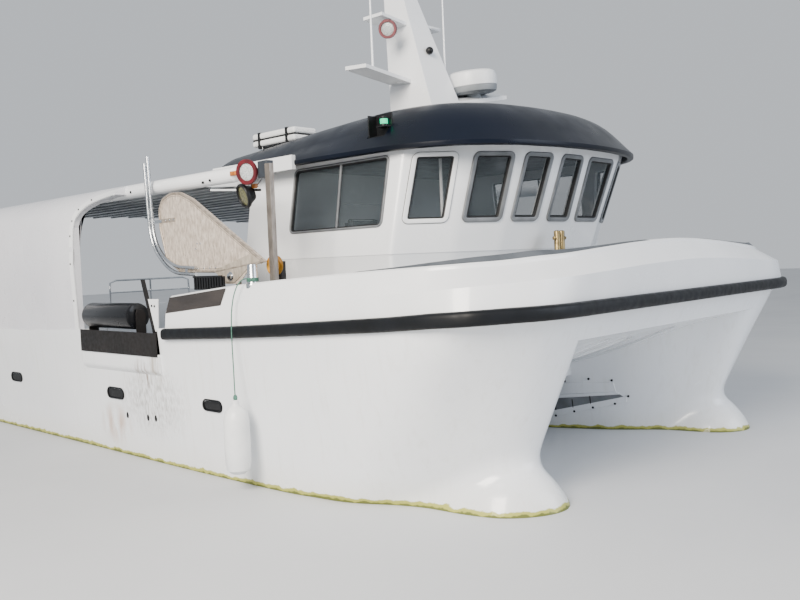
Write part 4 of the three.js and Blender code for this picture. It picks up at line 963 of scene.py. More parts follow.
# The same resin, a little greyer.
shelter_gelcoat = finish("shelter_gelcoat", "e2e3e8", "d4d5dc", (0.22, 0.36), 1500, 60, 0.08,
                         Coat_Weight=0.2, Coat_Roughness=0.1, IOR=1.5)
print("shelter:", len(shelter_rings), "sections")

# %% Edge strip and bolts
STRIP_WIDE = 0.075
edge_line = np.vstack(([(SHELTER_X[1], z) for z in (1.262, 1.6, 2.0, 2.3)], SWEEP))
chord = np.gradient(edge_line, axis=0)
back = np.stack((-chord[:, 1], chord[:, 0]), 1) / np.linalg.norm(chord, axis=1)[:, None]


def on_shelter(x, z, lift):
    """A point on the shelter's outside, lifted off it; where the side turns in, upwards too."""
    y = np.interp(z, np.maximum.accumulate(SHELTER_OUT[:, 1]), SHELTER_OUT[:, 0])
    return (x, y + lift, z + lift * 0.5 * (z > 2.5))


# Columns: distance back from the edge, lift.
STRIP = [(-0.004, -0.012), (-0.004, 0.004), (STRIP_WIDE - 0.004, 0.004), (STRIP_WIDE, -0.004)]
strip_rings = [[on_shelter(*(spot + aft * off), lift) for off, lift in STRIP]
               for spot, aft in zip(edge_line, back)]
bolt_at = [on_shelter(*(edge_line[i] + back[i] * STRIP_WIDE * 0.55), 0.004) for i in (1, 2, 3, 8, 14, 20)]
for side, name in ((-1, "starboard"), (1, "port")):
    flip = np.array((1, side, 1))
    piece(f"shelter_moulding_{name}", shell(np.array(shelter_rings) * flip), shelter_gelcoat,
          stands_for=(f"shelter_side_{name}",))
    piece(f"opening_strip_{name}", shell(np.array(strip_rings) * flip), white_gelcoat, bevel=0.002)
    piece(f"opening_bolts_{name}", studs(np.array(bolt_at) * flip, (0, side, 0), 0.011), black_plastic)
RAIL_FITTINGS = [(0.756, 2.708), (1.008, 2.713), (2.326, 2.69), (2.44, 2.70)]
piece("edge_rail_fittings", studs([(x, -2.467, z) for x, z in RAIL_FITTINGS], (0, -1, 0), 0.013, 0.012),
      black_plastic)

# %% [markdown]
# ## Lights
# A work light is a short cast bowl with a coloured rim and a ribbed lens; the ribs spread the beam.
# All three are round, so they are turned on one axis, and the rim is a ring closed on itself. The ribs
# are in the finish, as flat streaks some 14 mm long, which is coarser than the real ones and shows.

# %% Work lights
def work_light(name, at, aim, radius, depth, bowl, rim_finish, lens, clear=0.9):
    """Bowl, rim and lens turned about aim; at is the middle of the back of the bowl, and the lens's
    radius is clear times the lamp's."""
    r, d, c, around = radius, depth, radius * clear, 48
    bowl_line = [(r * 0.2, -0.012), (r * 0.5, -0.004), (r * 0.62, 0.0), (r * 0.78, d * 0.35),
                 (r * 0.95, d * 0.8), (r * 1.0, d * 0.9), (r * 0.9, d * 0.95)]
    rim_line = [(r * 0.99, d * 0.86), (r * 1.08, d * 0.86), (r * 1.12, d * 0.95), (r * 1.12, d * 1.18),
                (r * 1.07, d * 1.28), (c * 1.03, d * 1.28), (c, d * 1.2), (c * 0.98, d * 0.9)]
    lens_line = [(c * 1.01, d * 0.92), (c * 1.01, d * 1.08), (c * 0.88, d * 1.14), (c * 0.55, d * 1.19),
                 (c * 0.16, d * 1.21)]
    rim_rings = turned(rim_line, at, aim, around)[0].reshape(len(rim_line), around, 3)
    piece(name + "_bowl", turned(bowl_line, at, aim, around), bowl, stands_for=(name,))
    piece(name + "_rim", shell(rim_rings, joined=True), rim_finish)
    piece(name + "_lens", turned(lens_line, at, aim, around), lens)


# The mast light's rim is the same red enamel, faded. The lenses are moulded acrylic, clear and tinted.
dusky_red = finish("dusky_red_rim", "7f3a40", "5e2a30", (0.4, 0.6), 60, 3, 0.05, IOR=1.5)
ribbed_lens = finish("ribbed_lens", "cfd3d2", "8f9695", (0.1, 0.25), 14, 9, 1.2, (1, 1, 3.0), IOR=1.49)
olive_lens = finish("olive_lens", "6c6b4a", "45452f", (0.1, 0.25), 30, 9, 1.0, (1, 1, 2.0), IOR=1.49)
FORWARD_LIGHT, MAST_LIGHT = (3.112, -2.49, 2.71), (2.815, -0.37, 4.34)
work_light("deck_light_forward", FORWARD_LIGHT, (0.28, -0.95, -0.1), 0.098, 0.07, black_plastic, red_paint,
           ribbed_lens, 0.76)
work_light("deck_light_aft", (3.036, -2.44, 2.536), (-0.2, -0.9, -0.3), 0.098, 0.08, black_plastic,
           black_plastic, olive_lens)
work_light("mast_flood_light", MAST_LIGHT, (0.45, -0.85, -0.2), 0.088, 0.09, black_plastic, dusky_red,
           ribbed_lens, 0.8)
brackets = [tube([FORWARD_LIGHT, (3.10, -2.455, 2.722)], 0.018),
            tube([(3.036, -2.441, 2.53), (3.036, -2.441, 2.722)], 0.011),
            tube([(2.815, -0.375, 4.34), (2.815, -0.37, 4.46)], 0.014)]
piece("light_brackets", merged(*brackets), black_plastic)

# %% [markdown]
# Beside the lights the cables come out of amber glands on small rails, and a grey junction box hangs
# forward of them. Bent bars and small turned nuts are enough at this size.

# %% Rails, glands and the junction box
glands = [(2.79, 2.728), (2.845, 2.727), (3.1, 2.59)]
gland_line = [(0.012, -0.03), (0.012, 0.004), (0.019, 0.006), (0.019, 0.024), (0.013, 0.03)]
piece("gland_blocks", merged(*(block(x - 0.024, x + 0.024, -2.478, -2.45, z - 0.02, z + 0.02)
                               for x, z in glands)), amber_plastic, bevel=0.004)
piece("cable_glands", merged(*(turned(gland_line, (x, -2.455, z), (0.3, -0.95, 0), 12) for x, z in glands)),
      amber_plastic)
piece("gland_rail", merged(tube([(2.74, -2.44, 2.728), (2.9, -2.44, 2.727)], 0.008),
                           tube([(2.98, -2.44, 2.6), (3.1, -2.44, 2.59), (3.22, -2.452, 2.66)], 0.008)),
      stainless)
piece("lamp_rail", tube([(2.43, -2.455, 2.612), (2.81, -2.455, 2.58), (2.96, -2.455, 2.568)], 0.009),
      white_plastic)
piece("lamp_rail_end", tube([(2.96, -2.455, 2.568), (3.17, -2.455, 2.55)], 0.011), black_plastic)
# A moulded box in dark grey plastic, dulled by the sun.
junction_grey = finish("junction_box", "343a41", "282d33", (0.4, 0.6), 90, 3, 0.04, IOR=1.5)
piece("junction_box_cover", block(3.222, 3.347, -2.516, -2.438, 2.643, 2.787), junction_grey, bevel=0.008)

# %% [markdown]
# A sidelight stands in a bay of the brow with a black lining, so that it shows only forward and to its
# own side: green to starboard, red to port. Its lens is a drum of fine rings, and here the rings are
# real geometry, because they are its outline too.

# %% Sidelights
UP, GAP = (0, 0, 1), 0.0004        # the lining clears the moulding by this gap
SHELF = (3.072, 3.084)


def slab(side, x0, x1, near, far, z0, z1):
    """A flat lining piece between two distances outboard of the bay's back."""
    return block(x0, x1, *sorted((side * (BAY_Y + near), side * (BAY_Y + far))), z0, z1)


for side, name, lens in ((-1, "starboard", green_lens), (1, "port", red_lens)):
    x0, x1 = BAY_X
    z0, z1 = BAY_Z
    lining = merged(slab(side, x0 + GAP, x1 - GAP, GAP, 0.012, z0 + GAP, z1 + 0.004),
                    slab(side, x0 + GAP, x0 + 0.012, 0.0125, 0.112, z0 + GAP, z1 - 0.01),
                    slab(side, x0 + 0.0125, x1 - GAP, 0.0125, 0.10, z0 + GAP, z0 + 0.012),
                    slab(side, x0 + 0.09, x0 + 0.21, 0.0125, 0.10, *SHELF))
    piece(f"sidelight_bay_{name}", lining, black_plastic, bevel=0.002, stands_for=(f"sidelight_{name}",))
    foot = (x0 + 0.152, side * (BAY_Y + 0.06), SHELF[1] + 0.0005)
    case = merged(turned([(0.042, 0.0), (0.042, 0.012), (0.038, 0.016)], foot, UP),
                  turned([(0.038, 0.062), (0.041, 0.066), (0.036, 0.08), (0.015, 0.086)], foot, UP))
    piece(f"sidelight_case_{name}", case, black_plastic)
    rings = [(0.035 + 0.0015 * math.cos(k * math.pi), 0.0165 + 0.045 * k / 14) for k in range(15)]
    piece(f"sidelight_lens_{name}", turned(rings, foot, UP), lens)

# %% [markdown]
# ## Landing arm
# The arm is a plate of weathered aluminium with a folded flange round its edge, hinged low on its
# forward end. The plate is its own outline with eased corners, given a thickness; the flange and the
# bead follow the same outline, so they can't part from it. Every piece of it rides on the arm's body.

# %% Plate, flange and bead
ARM_PIVOT = (2.735, -2.48, 1.812)
ARM = "landing_arm"
PLATE = np.array([(1578, 2300), (1580, 2500), (1650, 2595), (1800, 2640), (1950, 2635), (2160, 2555),
                  (3230, 1930), (3040, 1905), (2850, 1745), (2640, 1745), (2500, 1850), (1910, 1865),
                  (1680, 1980)]) * MM


def ease_outline(outline, bend):
    """A closed outline with its corners rounded."""
    closed = np.vstack((outline[-1:], outline, outline[:1]))
    return rounded(np.insert(closed, 1, 0.0, axis=1), bend, 5)[1:-1][:, [0, 2]]


plate_line = ease_outline(PLATE, 0.022)
arm_y = ARM_PIVOT[1]
arm_face = arm_y - 0.014
piece("arm_plate", prism(plate_line, arm_face, arm_y - 0.006, 1), weathered_alloy, ARM, crease=50,
      bevel=0.0015, stands_for=("landing_arm",))
# The flange leaves out the two corners of the hinge's tongue, which are rows 8 and 9.
flange_line = ease_outline(np.delete(PLATE, (8, 9), axis=0), 0.03)


def beaded_edge(line, inset, radius, y):
    """A round bead that follows an outline, moved inboard of it by an inset.

    The move is square to the line: each point's tangent is the chord between its neighbours."""
    chord = np.roll(line, -1, axis=0) - np.roll(line, 1, axis=0)
    square = np.stack((chord[:, 1], -chord[:, 0]), 1) / np.linalg.norm(chord, axis=1)[:, None]
    angle = np.linspace(0, 2 * math.pi, 12, endpoint=False)
    return shell([np.insert(line + square * (inset + radius * math.cos(t)), 1, y + radius * math.sin(t),
                            axis=1) for t in angle], joined=True)


# Rubbed smoother than the plate by ropes; darker as painted shade that brings out the rolled bead.
rim_alloy = finish("worn_rim_painted_shade", "b3a799", "8c8175", (0.35, 0.5), 40, 5, 0.05, Metallic=0.5)
piece("arm_rim", merged(beaded_edge(flange_line, 0.011, 0.012, arm_y - 0.013),
                        beaded_edge(flange_line, 0.036, 0.003, arm_face)), rim_alloy, ARM, crease=60)
# The flange lies between the outline and a smaller one, both shrunk towards a point of the plate.
SHRINK_TO = np.array((2.3, 2.15))
flange_rings = [np.insert(flange_line * 0.999 + SHRINK_TO * 0.001, 1, arm_y + y, axis=1)
                for y in (-0.012, 0.022)]
inner_rings = [np.insert(SHRINK_TO + (flange_line - SHRINK_TO) * 0.985, 1, arm_y + y, axis=1)
               for y in (0.022, -0.012)]
piece("arm_flange", shell(flange_rings + inner_rings, joined=True), weathered_alloy, ARM, crease=50)

# %% [markdown]
# Two stainless tubes run up the arm's aft edge and keep the gear clear of the plate. Clips hold them,
# and lines of rivets and a strap break up the flat face.

# %% Hinge lug, tubes, clips and rivets
LUG = [(2.47, 1.868), (3.05, 2.008), (3.2, 1.93), (2.99, 1.878), (2.79, 1.757), (2.665, 1.757)]
# The same plate, rubbed brighter where it is handled.
arm_lug = finish("hinge_lug", "c4b9aa", "a59a8b", (0.4, 0.6), 30, 5, 0.06, (1, 1, 0.4), Metallic=0.4)
lug_line = ease_outline(np.array(LUG), 0.02)
piece("arm_hinge_lug", prism(lug_line, arm_y - 0.022, arm_y - 0.013, 1), arm_lug, ARM, crease=50,
      bevel=0.002)
TUBE_Y = arm_y - 0.03
arm_tubes = []
for d in (0.0, 0.062):
    line = rounded([(1.378 + d, TUBE_Y, 2.965 + d), (1.425 + d, TUBE_Y, 2.15),
                    (1.76 + d / 2, TUBE_Y, 1.862 + d), (2.2, TUBE_Y, 1.842 + d)], 0.2, 10)
    arm_tubes.append(tube(line, 0.017, 16))
piece("arm_tubes", merged(*arm_tubes), stainless, ARM)
clips = [block(1.45, 1.64, arm_y - 0.030, arm_y - 0.0125, 2.36, 2.39),
         block(1.385, 1.485, arm_y - 0.036, arm_y - 0.024, 2.64, 2.67),
         block(2.02, 2.06, arm_y - 0.034, arm_y - 0.0125, 1.835, 1.91)]
piece("arm_clips", merged(*clips), stainless, ARM, bevel=0.002)
strap = block(1.6, 1.866, arm_face - 0.006, arm_face + 0.001, 2.36, 2.396)
piece("arm_strap", strap, rim_alloy, ARM, bevel=0.0015)
rivets = [(x, arm_face - 0.004, 2.378) for x in np.linspace(1.625, 1.845, 4)]
rivets += [(2.219, arm_face, 2.13), (2.271, arm_face, 2.128), (2.194, arm_face, 2.08)]
rivets += [(x, arm_face, 1.895) for x in np.linspace(2.12, 2.5, 5)]
piece("arm_rivets", studs(rivets, (0, -1, 0), 0.009), stainless, ARM)
pivot_x, pivot_z = ARM_PIVOT[0], ARM_PIVOT[2]
pivot_line = [(0.042, -0.006), (0.042, 0.006), (0.036, 0.010), (0.027, 0.010), (0.027, 0.026),
              (0.014, 0.030)]
piece("arm_pivot_boss", turned(pivot_line, (pivot_x, arm_y - 0.018, pivot_z), (0, -1, 0), 40), stainless,
      ARM)

# %% [markdown]
# The arm swings on a pin in a post that stands on the deck. The outboard cheek is cut lower and leaves
# the hinge's boss in view. The post rides on the hull, and only the arm turns.

# %% Pedestal of the arm
POST_TOP, POST_HALF, PLATE_HALF = 1.5, 0.045, 0.07
CHEEK_TOP, CHEEK_HALF, LOW_TOP = 1.84, 0.03, 1.66


def cheek(top, half):
    """A tapered plate in the XZ plane, as wide as the post's plate below and twice half above."""
    return [(pivot_x - PLATE_HALF, POST_TOP), (pivot_x + PLATE_HALF, POST_TOP), (pivot_x + half, top),
            (pivot_x - half, top)]


piece("arm_pedestal", merged(
    block(pivot_x - POST_HALF, pivot_x + POST_HALF, arm_y - POST_HALF, arm_y + POST_HALF, DECK + 0.0003,
          POST_TOP),
    block(pivot_x - PLATE_HALF, pivot_x + PLATE_HALF, arm_y - PLATE_HALF, arm_y + PLATE_HALF, POST_TOP,
          POST_TOP + 0.012),
    prism(cheek(CHEEK_TOP, CHEEK_HALF), arm_y + 0.06, arm_y + PLATE_HALF, 1),
    prism(cheek(LOW_TOP, (CHEEK_HALF + PLATE_HALF) / 2), arm_y - PLATE_HALF, arm_y - 0.06, 1),
    tube([(pivot_x, arm_y - POST_HALF, pivot_z), (pivot_x, arm_y + 0.065, pivot_z)], 0.015)),
    pole_alloy, bevel=0.003, stands_for=("arm_bracket",))

# %% [markdown]
# ## Hauling gap
# Gear comes in over a rubber-covered roller in the gap of the starboard side, and the sheave of the pot
# hauler faces outboard forward of it. Both are turned shapes that spin on their own pins. The sheave's
# profile has a groove, so it is one line from one face over the rim to the other.

# %% Roller
ROLLER_X, ROLLER_Y, ROLLER_Z = (0.43, 1.37), -2.668, 1.445
roller_length = ROLLER_X[1] - ROLLER_X[0]
roller_end = [(0.02, -0.006), (0.04, -0.006), (0.04, 0.0), (0.118, 0.0), (0.128, 0.004), (0.132, 0.014)]
roller_line = roller_end + [(radius, roller_length - along) for radius, along in roller_end[::-1]]
# Polished along its length by the gear that slides over it, so it shines like a coated surface.
roller_rubber = finish("polished_rubber", "0b0c10", "06070a", (0.25, 0.4), 300, 40, 0.05, (0.25, 1, 1),
                       IOR=1.36, Coat_Weight=0.35, Coat_Roughness=0.12)
piece("roller_tyre", turned(roller_line, (ROLLER_X[0], ROLLER_Y, ROLLER_Z), (1, 0, 0), 64),
      roller_rubber, "hauling_roller", stands_for=("hauling_roller",))

# %% Sheave and its pedestal
SHEAVE_AT = (3.228, -2.385, 1.896)
sheave_half = [(0.018, -0.032), (0.052, -0.032), (0.056, -0.028), (0.078, -0.030), (0.084, -0.026),
               (0.082, -0.020), (0.060, -0.010)]
sheave_line = sheave_half + [(0.054, 0.0)] + [(radius, -along) for radius, along in sheave_half[::-1]]
piece("sheave_disc", turned(sheave_line, SHEAVE_AT, (0, 1, 0), 64), yellow_paint, "hauler_sheave",
      stands_for=("hauler_sheave",))
piece("hauler_pedestal", merged(
    block(SHEAVE_AT[0] - 0.035, SHEAVE_AT[0] + 0.035, -2.346, -2.29, 1.41, 1.93),
    tube([(SHEAVE_AT[0], y, SHEAVE_AT[2]) for y in (-2.423, -2.38, -2.3)], 0.015)), charcoal_steel,
    bevel=0.004, stands_for=("hauler_stand",))

# %% [markdown]
# A bollard is a stainless post with a flared foot and a domed cap, so lines lead fair and don't catch.

# %% Bollards
post_line = [(0.058, -0.03), (0.058, 0.0), (0.056, 0.006), (0.046, 0.010), (0.043, 0.016), (0.043, 0.161),
             (0.040, 0.170), (0.034, 0.173), (0.012, 0.173)]
for side, name in ((-1, "starboard"), (1, "port")):
    piece(f"bollard_post_{name}", turned(post_line, (3.228, side * 2.628, 1.742), (0, 0, 1), 40), stainless,
          stands_for=(f"bollard_{name}",))

# %% [markdown]
# The canopy is stiffened by shallow ribs that are moulded on its underside, fore and aft. They follow
# its camber, so each one's height is read from that. They are grey, not white like the canopy: painted
# shade for the dark band under its edge.

# %% Ribs under the canopy
def canopy_under(y):
    """The height of the cambered canopy's underside at y."""
    return np.interp(abs(y), (0, 1.3, 2.39), (2.765, 2.74, 2.685))


RIB_HALF, RIB_DEEP, RIB_APART = 0.014, 0.018, 0.3
painted_shade_ribs = [block(-3.5, 1.9, y - RIB_HALF, y + RIB_HALF, canopy_under(y) - RIB_DEEP,
                    canopy_under(y) + 0.004) for y in np.arange(-2.1, 2.2, RIB_APART)]
# The grey cabin lining on the ribs is painted shade under the canopy.
piece("canopy_ribs_painted_shade", merged(*painted_shade_ribs), cabin_grey, bevel=0.004)

# %% [markdown]
# At the gap's forward end a white guide plate keeps the gear in line with the roller, and a black
# slatted tray stands by the rail forward of it. Both are flat stock, so outlines with a thickness and
# a small bevel do.

# %% Guide plate and gear tray
GUIDE = [(1.668, 1.62), (1.846, 1.62), (1.822, 1.335), (1.79, 1.305), (1.775, 1.31)]
piece("guide_plate", prism(GUIDE, -2.722, -2.7075, 1), white_gelcoat, bevel=0.003)
guide_bolts = [(1.735, -2.722, 1.555), (1.785, -2.722, 1.552)]
piece("guide_bolts", studs(guide_bolts, (0, -1, 0), 0.012), black_plastic)
# The slats' feet and heads rise a little going forward.
tray_slats = [block(x, x + 0.022, -2.645, -2.637, 1.70 + 0.08 * (x - 2.35), 1.815 + 0.03 * (x - 2.35))
              for x in np.arange(2.36, 2.77, 0.041)]
tray_slats += [block(2.35, 2.8, -2.65, -2.632, 1.812, 1.828), block(2.352, 2.8, -2.63, -2.605, 1.7, 1.82)]
piece("gear_tray", merged(*tray_slats), black_plastic, bevel=0.002)

# %% [markdown]
# The bow bitts are a pair of old brass posts with a pin through both, on a plate on the foredeck. The
# bow line is made fast round them under the pin.

# %% Bow bitts
BITT_AT = np.array((4.69, -0.16))
bitt_line = [(0.030, -0.4), (0.030, 0.17), (0.026, 0.178), (0.012, 0.182)]
bitts = [turned(bitt_line, (BITT_AT[0], BITT_AT[1] + dy, 1.93), (0, 0, 1), 28) for dy in (-0.038, 0.038)]
pin_end = [(0.010, -0.098), (0.017, -0.094), (0.017, -0.075), (0.012, -0.07)]
pin_line = pin_end + [(radius, -along) for radius, along in pin_end[::-1]]
bitts.append(turned(pin_line, (*BITT_AT, 2.04), (0, 1, 0), 24))
bitts.append(block(BITT_AT[0] - 0.09, BITT_AT[0] + 0.09, BITT_AT[1] - 0.12, BITT_AT[1] + 0.12, 1.47, 1.503))
piece("bow_bitt_posts", merged(*bitts), brass, stands_for=("bow_bitts",))

# %% [markdown]
# ## Radome, dome camera and life raft
# The radar scanner turns inside a moulded radome: a white cap over a dark grey base. It leans a little
# inboard, and the lean is only in the axis that it is turned about. The small black dome on the mast
# above it is a camera.

# %% Radome and dome camera
RADAR_AT = (3.13, 0.607, 3.712)
RADAR_LEAN = math.radians(6)
radar_axis = (0, -math.sin(RADAR_LEAN), math.cos(RADAR_LEAN))
cap_line = [(0.20, 0.078), (0.271, 0.078), (0.278, 0.084), (0.279, 0.12), (0.277, 0.185), (0.264, 0.226),
            (0.23, 0.246), (0.12, 0.258), (0.02, 0.26)]
base_line = [(0.06, -0.045), (0.08, -0.045), (0.082, -0.004), (0.15, 0.0), (0.235, 0.006), (0.262, 0.018),
             (0.271, 0.042), (0.273, 0.077), (0.20, 0.077)]
piece("radome_cap", turned(cap_line, RADAR_AT, radar_axis, 72), white_plastic, stands_for=("radar_dome",))
piece("radome_base", turned(base_line, RADAR_AT, radar_axis, 72), cabin_grey)
camera_line = [(0.02, -0.05), (0.034, -0.045), (0.040, -0.02), (0.042, 0.0), (0.037, 0.02), (0.024, 0.036),
               (0.008, 0.042)]
piece("mast_dome_camera", turned(camera_line, (3.036, 0.0, 4.128), (0.6, -0.75, -0.1), 32), black_plastic)

# %% [markdown]
# The life raft's canister is two glass-fibre halves with a rubber band between them, strapped in a
# cradle on the roof. A deep bevel gives the halves their rounded corners.

# %% Life raft canister
RAFT_X, RAFT_Y, RAFT_Z = (1.28, 2.02), (-1.09, -0.76), (3.225, 3.375)
LOWER_TOP, UPPER_FOOT = 3.297, 3.303
piece("raft_canister", merged(block(*RAFT_X, *RAFT_Y, RAFT_Z[0], LOWER_TOP),
                              block(*RAFT_X, *RAFT_Y, UPPER_FOOT, RAFT_Z[1])), white_plastic,
      bevel=0.028, stands_for=("liferaft_canister",))
straps = [block(x - 0.02, x + 0.02, RAFT_Y[0] - 0.003, RAFT_Y[1] + 0.003, 3.2, 3.379) for x in (1.41, 1.89)]
piece("raft_straps", merged(*straps), black_plastic, bevel=0.002)
piece("raft_band", block(RAFT_X[0] + 0.01, RAFT_X[1] - 0.01, RAFT_Y[0] + 0.01, RAFT_Y[1] - 0.01, 3.29,
                         3.31), gasket_rubber)
raft_feet = [block(x, x + 0.06, RAFT_Y[0] + 0.02, RAFT_Y[1] - 0.02, 3.08, 3.235) for x in (1.38, 1.86)]
piece("raft_cradle", merged(*raft_feet), stainless, bevel=0.003)

# %% [markdown]
# ## Fittings on the side
# Black oval freeing ports let water off the working deck, each a rubber lip round a hinged flap. Below
# them are the small outlets of the pumps. They are rings of points placed on the hull's own surface,
# which the waterlines give at any spot, so nothing has to be projected.

# %% Freeing ports
def side_y(x, z):
    """How far out the starboard hull side stands at x and z, from the waterlines."""
    ring = hull_ring(z, 1.0, 0.0)
    outer = ring[:len(ring) // 2]
    order = np.argsort(outer[:, 0])
    return -np.interp(x, outer[order, 0], outer[order, 1])


# Columns: x, z, half of the straight part, end radius.
PORTS = [(0.873, 0.641, 0.112, 0.047), (2.625, 0.662, 0.096, 0.041), (-1.6, 0.65, 0.1, 0.044),
         (-4.2, 0.65, 0.1, 0.044)]
port_lip = [(0.0, -0.004), (-0.001, 0.009), (0.004, 0.014), (0.012, 0.012), (0.016, 0.004),
            (0.016, -0.006)]
port_flap = [(0.0, 0.002), (-0.004, 0.004), (-0.02, 0.0045)]
ports, flaps = [], []
for sign in (1, -1):
    for x, z, half, radius in PORTS:
        spot = (x, side_y(x, z) * sign, z)
        ports.append(shell(oval(spot, half, radius, port_lip, -sign), joined=True))
        flaps.append(shell(oval(spot, half, radius, port_flap, -sign)))
piece("freeing_port_lips", merged(*ports), black_rubber)
piece("freeing_port_flaps", merged(*flaps), black_plastic)

# %% Pump outlets
OUTLET_HALF = (0.018, 0.028)
OUTLETS = [(1.062, 0.425), (1.471, 0.438), (1.617, 0.444), (-4.6, 0.3), (-4.75, 0.3)]


def upright_oval(x, z, half_wide, half_high, section, around=20):
    """An elliptical fitting on the starboard side: each row of section is (scale, stand-off)."""
    angle = np.linspace(0, 2 * math.pi, around, endpoint=False)
    return shell([np.stack((x + scale * half_wide * np.cos(angle), np.full(around, side_y(x, z) - off),
                            z + scale * half_high * np.sin(angle)), 1) for scale, off in section])


# The last row closes the ring in a black face across its middle: painted shade for the outlet's dark bore.
outlet_section = [(1.15, -0.004), (1.15, 0.003), (1.0, 0.004), (0.85, 0.002), (0.4, 0.002)]
piece("pump_outlets", merged(*(upright_oval(x, z, *OUTLET_HALF, outlet_section) for x, z in OUTLETS)),
      black_plastic)
piece("pump_flange", block(0.22, 0.27, -2.668, -2.64, 0.42, 0.5), white_plastic, bevel=0.006)

# %% [markdown]
# A panel of dark sheet saves the bulwark where pots come over. It follows the bulwark's lean and fold,
# so its edge is a loop of points laid on that surface.

# %% Scuff panel
def on_bulwark(x, z, lift):
    """A point on the starboard bulwark's face abaft the bow: between the sheer, the fold and the top."""
    row = [np.interp(x, half_rim[:4, 0], half_rim[:4, k]) for k in (3, 4, 6, 7)]
    y = np.interp(z, [np.interp(x, SHEER[:, 0], SHEER[:, 1]), row[1], row[3]], [2.75, row[0], row[2]])
    return (x, -(y + lift), z)


# Corners, from the lower aft one forward and up. Columns: x, z.
SCUFF = np.array([(2.004, 1.488), (2.895, 1.568), (2.905, 1.715), (2.004, 1.633)])
along = np.linspace(0, 1, 14)[:, None]
loop = np.vstack((SCUFF[0] + (SCUFF[1] - SCUFF[0]) * along, SCUFF[2] + (SCUFF[3] - SCUFF[2]) * along))
scuff = [[on_bulwark(x, z, lift) for x, z in loop] for lift in (0.0005, 0.0035)]
# Scratched fore and aft, so the pattern is five times longer than it is high.
scuff_sheet = finish("scuff_sheet", "332e2c", "262221", (0.5, 0.7), 120, 5, 0.12, (0.2, 1, 1), IOR=1.5)
piece("scuff_panel", shell(scuff), scuff_sheet)

# %% [markdown]
# ## Inside the tunnel
# Two spray rails run under the bridge deck's sweep, to either side, and break up the water that climbs
# it. They are round bars along the tunnel's roof that taper to nothing at both ends.

# %% Spray rails
def tunnel_y(x, z):
    """How far from the centre line the tunnel side of a hull stands at x and z."""
    ring = hull_ring(z, 1.0, 0.0)
    inner = ring[np.argmax(ring[:, 0]):]
    order = np.argsort(inner[:, 0])
    return np.interp(x, inner[order, 0], inner[order, 1])


def tunnel_roof(x):
    """The height of the bridge deck's underside at x."""
    return np.interp(x, TUNNEL[::-1, 0], TUNNEL[::-1, 1])


def rail_under(start, end, radius=0.02, steps=12):
    """A round rail along the tunnel's roof between two points of the plan.

    Its radius is the root of a sine along its length, cut off at one, so the ends are blunt tapers."""
    x, y = (np.linspace(a, b, steps) for a, b in zip(start, end))
    size = radius * np.sqrt(np.clip(np.sin(np.linspace(0.03, math.pi - 0.03, steps)) * 1.4, 0, 1))
    return tube(np.stack((x, y, tunnel_roof(x) - 0.004), 1), size, 10)


def both_sides(points, faces):
    """A shell and its mirror image, whose faces are turned round so that they still look outward."""
    return merged((points, faces), (points * MIRROR, [face[::-1] for face in faces]))


rails = merged(rail_under((4.42, 0.385), (5.3, 0.06)), rail_under((4.18, 0.745), (5.45, 0.61)))
piece("tunnel_spray_rails", both_sides(*rails), hull_gelcoat)

# %% [markdown]
# A bolted panel low on each hull's inner side covers the keel cooler's pipes, and water reaches them
# through its slot. The panel is in strips above and below the slot, and each is a grid of points on
# the hull's own surface, so that it bends with it.

# %% Cooler panels
def cover_strip(low_edge, top_edge, proud):
    """A strip laid on the tunnel side between two edges of (x, z), standing proud of it."""
    rings = []
    for t in np.linspace(0, 1, 16):
        low_end, top_end = (np.array(a) + (np.array(b) - a) * t for a, b in (low_edge, top_edge))
        across = [low_end + (top_end - low_end) * u for u in np.linspace(0, 1, 5)]
        rings.append([(x, tunnel_y(x, z) - proud, z) for x, z in across]
                     + [(x, tunnel_y(x, z) + 0.006, z) for x, z in across[::-1]])
    return shell(rings)


# Columns: lower edge, upper edge, how far it stands proud. An edge is two points of (x, z).
COOLER = [(((3.4, -0.02), (4.683, 0.31)), ((3.4, 0.065), (4.692, 0.372)), 0.010),
          (((3.4, 0.29), (4.64, 0.395)), ((3.4, 0.33), (4.60, 0.42)), 0.016),
          (((3.4, 0.331), (4.60, 0.421)), ((3.4, 0.49), (4.585, 0.52)), 0.009)]
panels = merged(*(cover_strip(*row) for row in COOLER))
piece("cooler_panels", both_sides(*panels), hull_gelcoat, bevel=0.003)
# The slot is a grey face just proud of the hull rather than an opening: painted shade for the recess inside
# it.
slot = cover_strip(((3.45, 0.075), (4.66, 0.365)), ((3.45, 0.285), (4.63, 0.39)), 0.002)
piece("cooler_slot_painted_shade", both_sides(*slot), frame_alloy)
PIN_LONG = 0.09
PIN_FEET = [(3.98, 0.2), (4.16, 0.235), (4.34, 0.28)]


def slot_pin(x, foot):
    """A thin upright bar across the slot, from its foot up the hull's side."""
    return tube([(x, tunnel_y(x, z) - 0.006, z) for z in np.linspace(foot, foot + PIN_LONG, 4)], 0.005)


pins = merged(*(slot_pin(*row) for row in PIN_FEET))
piece("cooler_pins", both_sides(*pins), charcoal_steel)
bolt_spots = [(3.974, 0.139), (4.168, 0.194), (4.359, 0.242), (4.576, 0.289), (4.706, 0.371),
              (4.109, 0.525), (4.352, 0.555), (4.574, 0.543), (3.78, 0.085), (3.86, 0.5)]
bolts = studs([(x, tunnel_y(x, z) - 0.009, z) for x, z in bolt_spots], (0.25, -1, 0), 0.013, 0.01)
piece("cooler_bolts", both_sides(*bolts), black_plastic)

# %% [markdown]
# ## Fender on its lanyard
# A hollow white plastic fender, blown like a bottle, hangs overside on a green braided line. It is
# round, so it is turned.

# %% The fender
FENDER_FOOT = (3.222, -2.862, 0.165)
fender_line = [(0.02, 0.0), (0.06, 0.008), (0.095, 0.04), (0.107, 0.1), (0.109, 0.28), (0.107, 0.45),
               (0.095, 0.515), (0.062, 0.56), (0.034, 0.58), (0.028, 0.595), (0.028, 0.62), (0.02, 0.625)]
piece("hanging_fender", turned(fender_line, FENDER_FOOT, (0, 0, 1), 40), white_plastic)

